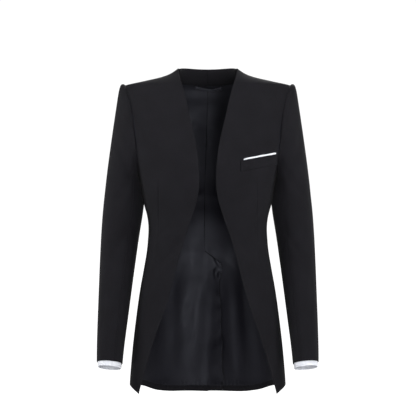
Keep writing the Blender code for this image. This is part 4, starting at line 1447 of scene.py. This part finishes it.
def build_stage():
    """A pale floor. Its paper glows to white further out, and lights the jacket by a share of that."""
    corners = ((-1, -1), (1, -1), (1, 1), (-1, 1))
    points = [(x * FLOOR_RADIUS, y * FLOOR_RADIUS, FLOOR_LEVEL) for x, y in corners]
    mesh = bpy.data.meshes.new("studio_floor")
    mesh.from_pydata(points, [], [(0, 1, 2, 3)])
    floor = bpy.data.objects.new("studio_floor", mesh)
    bpy.context.scene.collection.objects.link(floor)
    paper = make_look(
        "studio_paper",
        {"patch": ("noise", 3.0, 2.0, 0.5)},
        colour=("patch", "patch", (0.80, 0.80, 0.80), (0.84, 0.84, 0.84)),
        finish={"Roughness": 0.9, "Specular IOR Level": 0.1, "Emission Color": (1.0, 1.0, 1.0, 1.0)},
    )
    tree = paper.node_tree
    place = add_node(tree, "TexCoord", {}).outputs["Object"]
    flat = add_node(tree, "VectorMath", {0: place, 1: (1.0, 1.0, 0.0)}, operation="MULTIPLY")
    reach = add_node(tree, "VectorMath", {0: flat.outputs["Vector"]}, operation="LENGTH")
    (near, near_glow), (far, far_glow) = FLOOR_NEAR, FLOOR_FAR
    limits = {"From Min": near, "From Max": far, "To Min": near_glow, "To Max": far_glow}
    rise = add_node(
        tree, "MapRange", {"Value": reach.outputs["Value"], **limits}, interpolation_type="SMOOTHSTEP"
    )
    seen = add_node(tree, "LightPath", {}).outputs["Is Camera Ray"]
    glow = add_node(tree, "MapRange", {"Value": seen, "To Min": FLOOR_GLOW})
    factors = {0: rise.outputs["Result"], 1: glow.outputs["Result"]}
    given = add_node(tree, "Math", factors, operation="MULTIPLY")
    fill(tree, tree.nodes["Principled BSDF"], {"Emission Strength": given.outputs["Value"]})
    mesh.materials.append(paper)


def build_light():
    """The lamps, and air that looks white to the camera and lights the jacket dimly."""
    for name, place, aim, size, power, beam in LAMPS:
        lamp = bpy.data.lights.new(name, "AREA")
        lamp.shape = "DISK"
        lamp.size = size
        lamp.energy = power
        lamp.spread = math.radians(beam)
        made = bpy.data.objects.new(name, lamp)
        made.location = place
        made.rotation_euler = (Vector(aim) - Vector(place)).to_track_quat("-Z", "Y").to_euler()
        made.visible_camera = False
        bpy.context.scene.collection.objects.link(made)
    world = bpy.data.worlds.new("studio_world")
    world.use_nodes = True
    tree = world.node_tree
    white = (1.0, 1.0, 1.0, 1.0)
    air = fill(tree, tree.nodes["Background"], {"Color": white, "Strength": AIR_LIGHT})
    backdrop = add_node(tree, "Background", {"Color": white, "Strength": WHITE_AIR})
    seen = add_node(tree, "LightPath", {}).outputs["Is Camera Ray"]
    shaders = {"Fac": seen, 1: air.outputs["Background"], 2: backdrop.outputs["Background"]}
    mix = add_node(tree, "MixShader", shaders)
    fill(tree, tree.nodes["World Output"], {"Surface": mix.outputs["Shader"]})
    bpy.context.scene.world = world
    bpy.context.scene.view_settings.view_transform = "Standard"


def build_camera():
    lens = bpy.data.cameras.new("photo_camera")
    lens.lens = CAMERA_LENS
    lens.sensor_width = CAMERA_SENSOR
    made = bpy.data.objects.new("photo_camera", lens)
    made.location = CAMERA_PLACE
    made.rotation_euler = (math.pi / 2, 0.0, 0.0)
    bpy.context.scene.collection.objects.link(made)
    bpy.context.scene.camera = made


def main():
    crepe, facing_crepe = crepe_look("crepe_cloth", 0.020), crepe_look("crepe_facing", 0.050)
    poplin = poplin_look()
    thread = thread_look("black_thread", (0.008, 0.008, 0.010), (0.014, 0.014, 0.017), 0.3)
    # The seam lines are painted shade: a near-black look, darker than the black cloth, for the shadow in a
    # seam's groove.
    painted_seam_shade = thread_look("painted_seam_shade", (0.0006, 0.0006, 0.0008), (0.0010, 0.0010, 0.0013), 0.03)
    satin, bright_satin = satin_look("satin_cloth", 0.155), satin_look("satin_loop", 0.34)
    loop = armhole_loop()
    for side_name in SIDES:
        build_front(side_name, (crepe, crepe))
        build_side(side_name, (crepe, satin))
        build_back(side_name, (crepe, crepe))
        build_lining(side_name, satin)
        build_facing(side_name, facing_crepe)
        build_sleeve(side_name, loop, (crepe, satin), poplin)
        cuff_stitching(side_name, loop, poplin)
        build_armhole_tape(side_name, loop, satin)
    build_welt((crepe,), poplin)
    welt_trim(thread, painted_seam_shade)
    build_loop(bright_satin)
    facing_stitching(bright_satin)
    seam_lines(painted_seam_shade)
    build_camera()
    build_light()
    build_stage()


main()
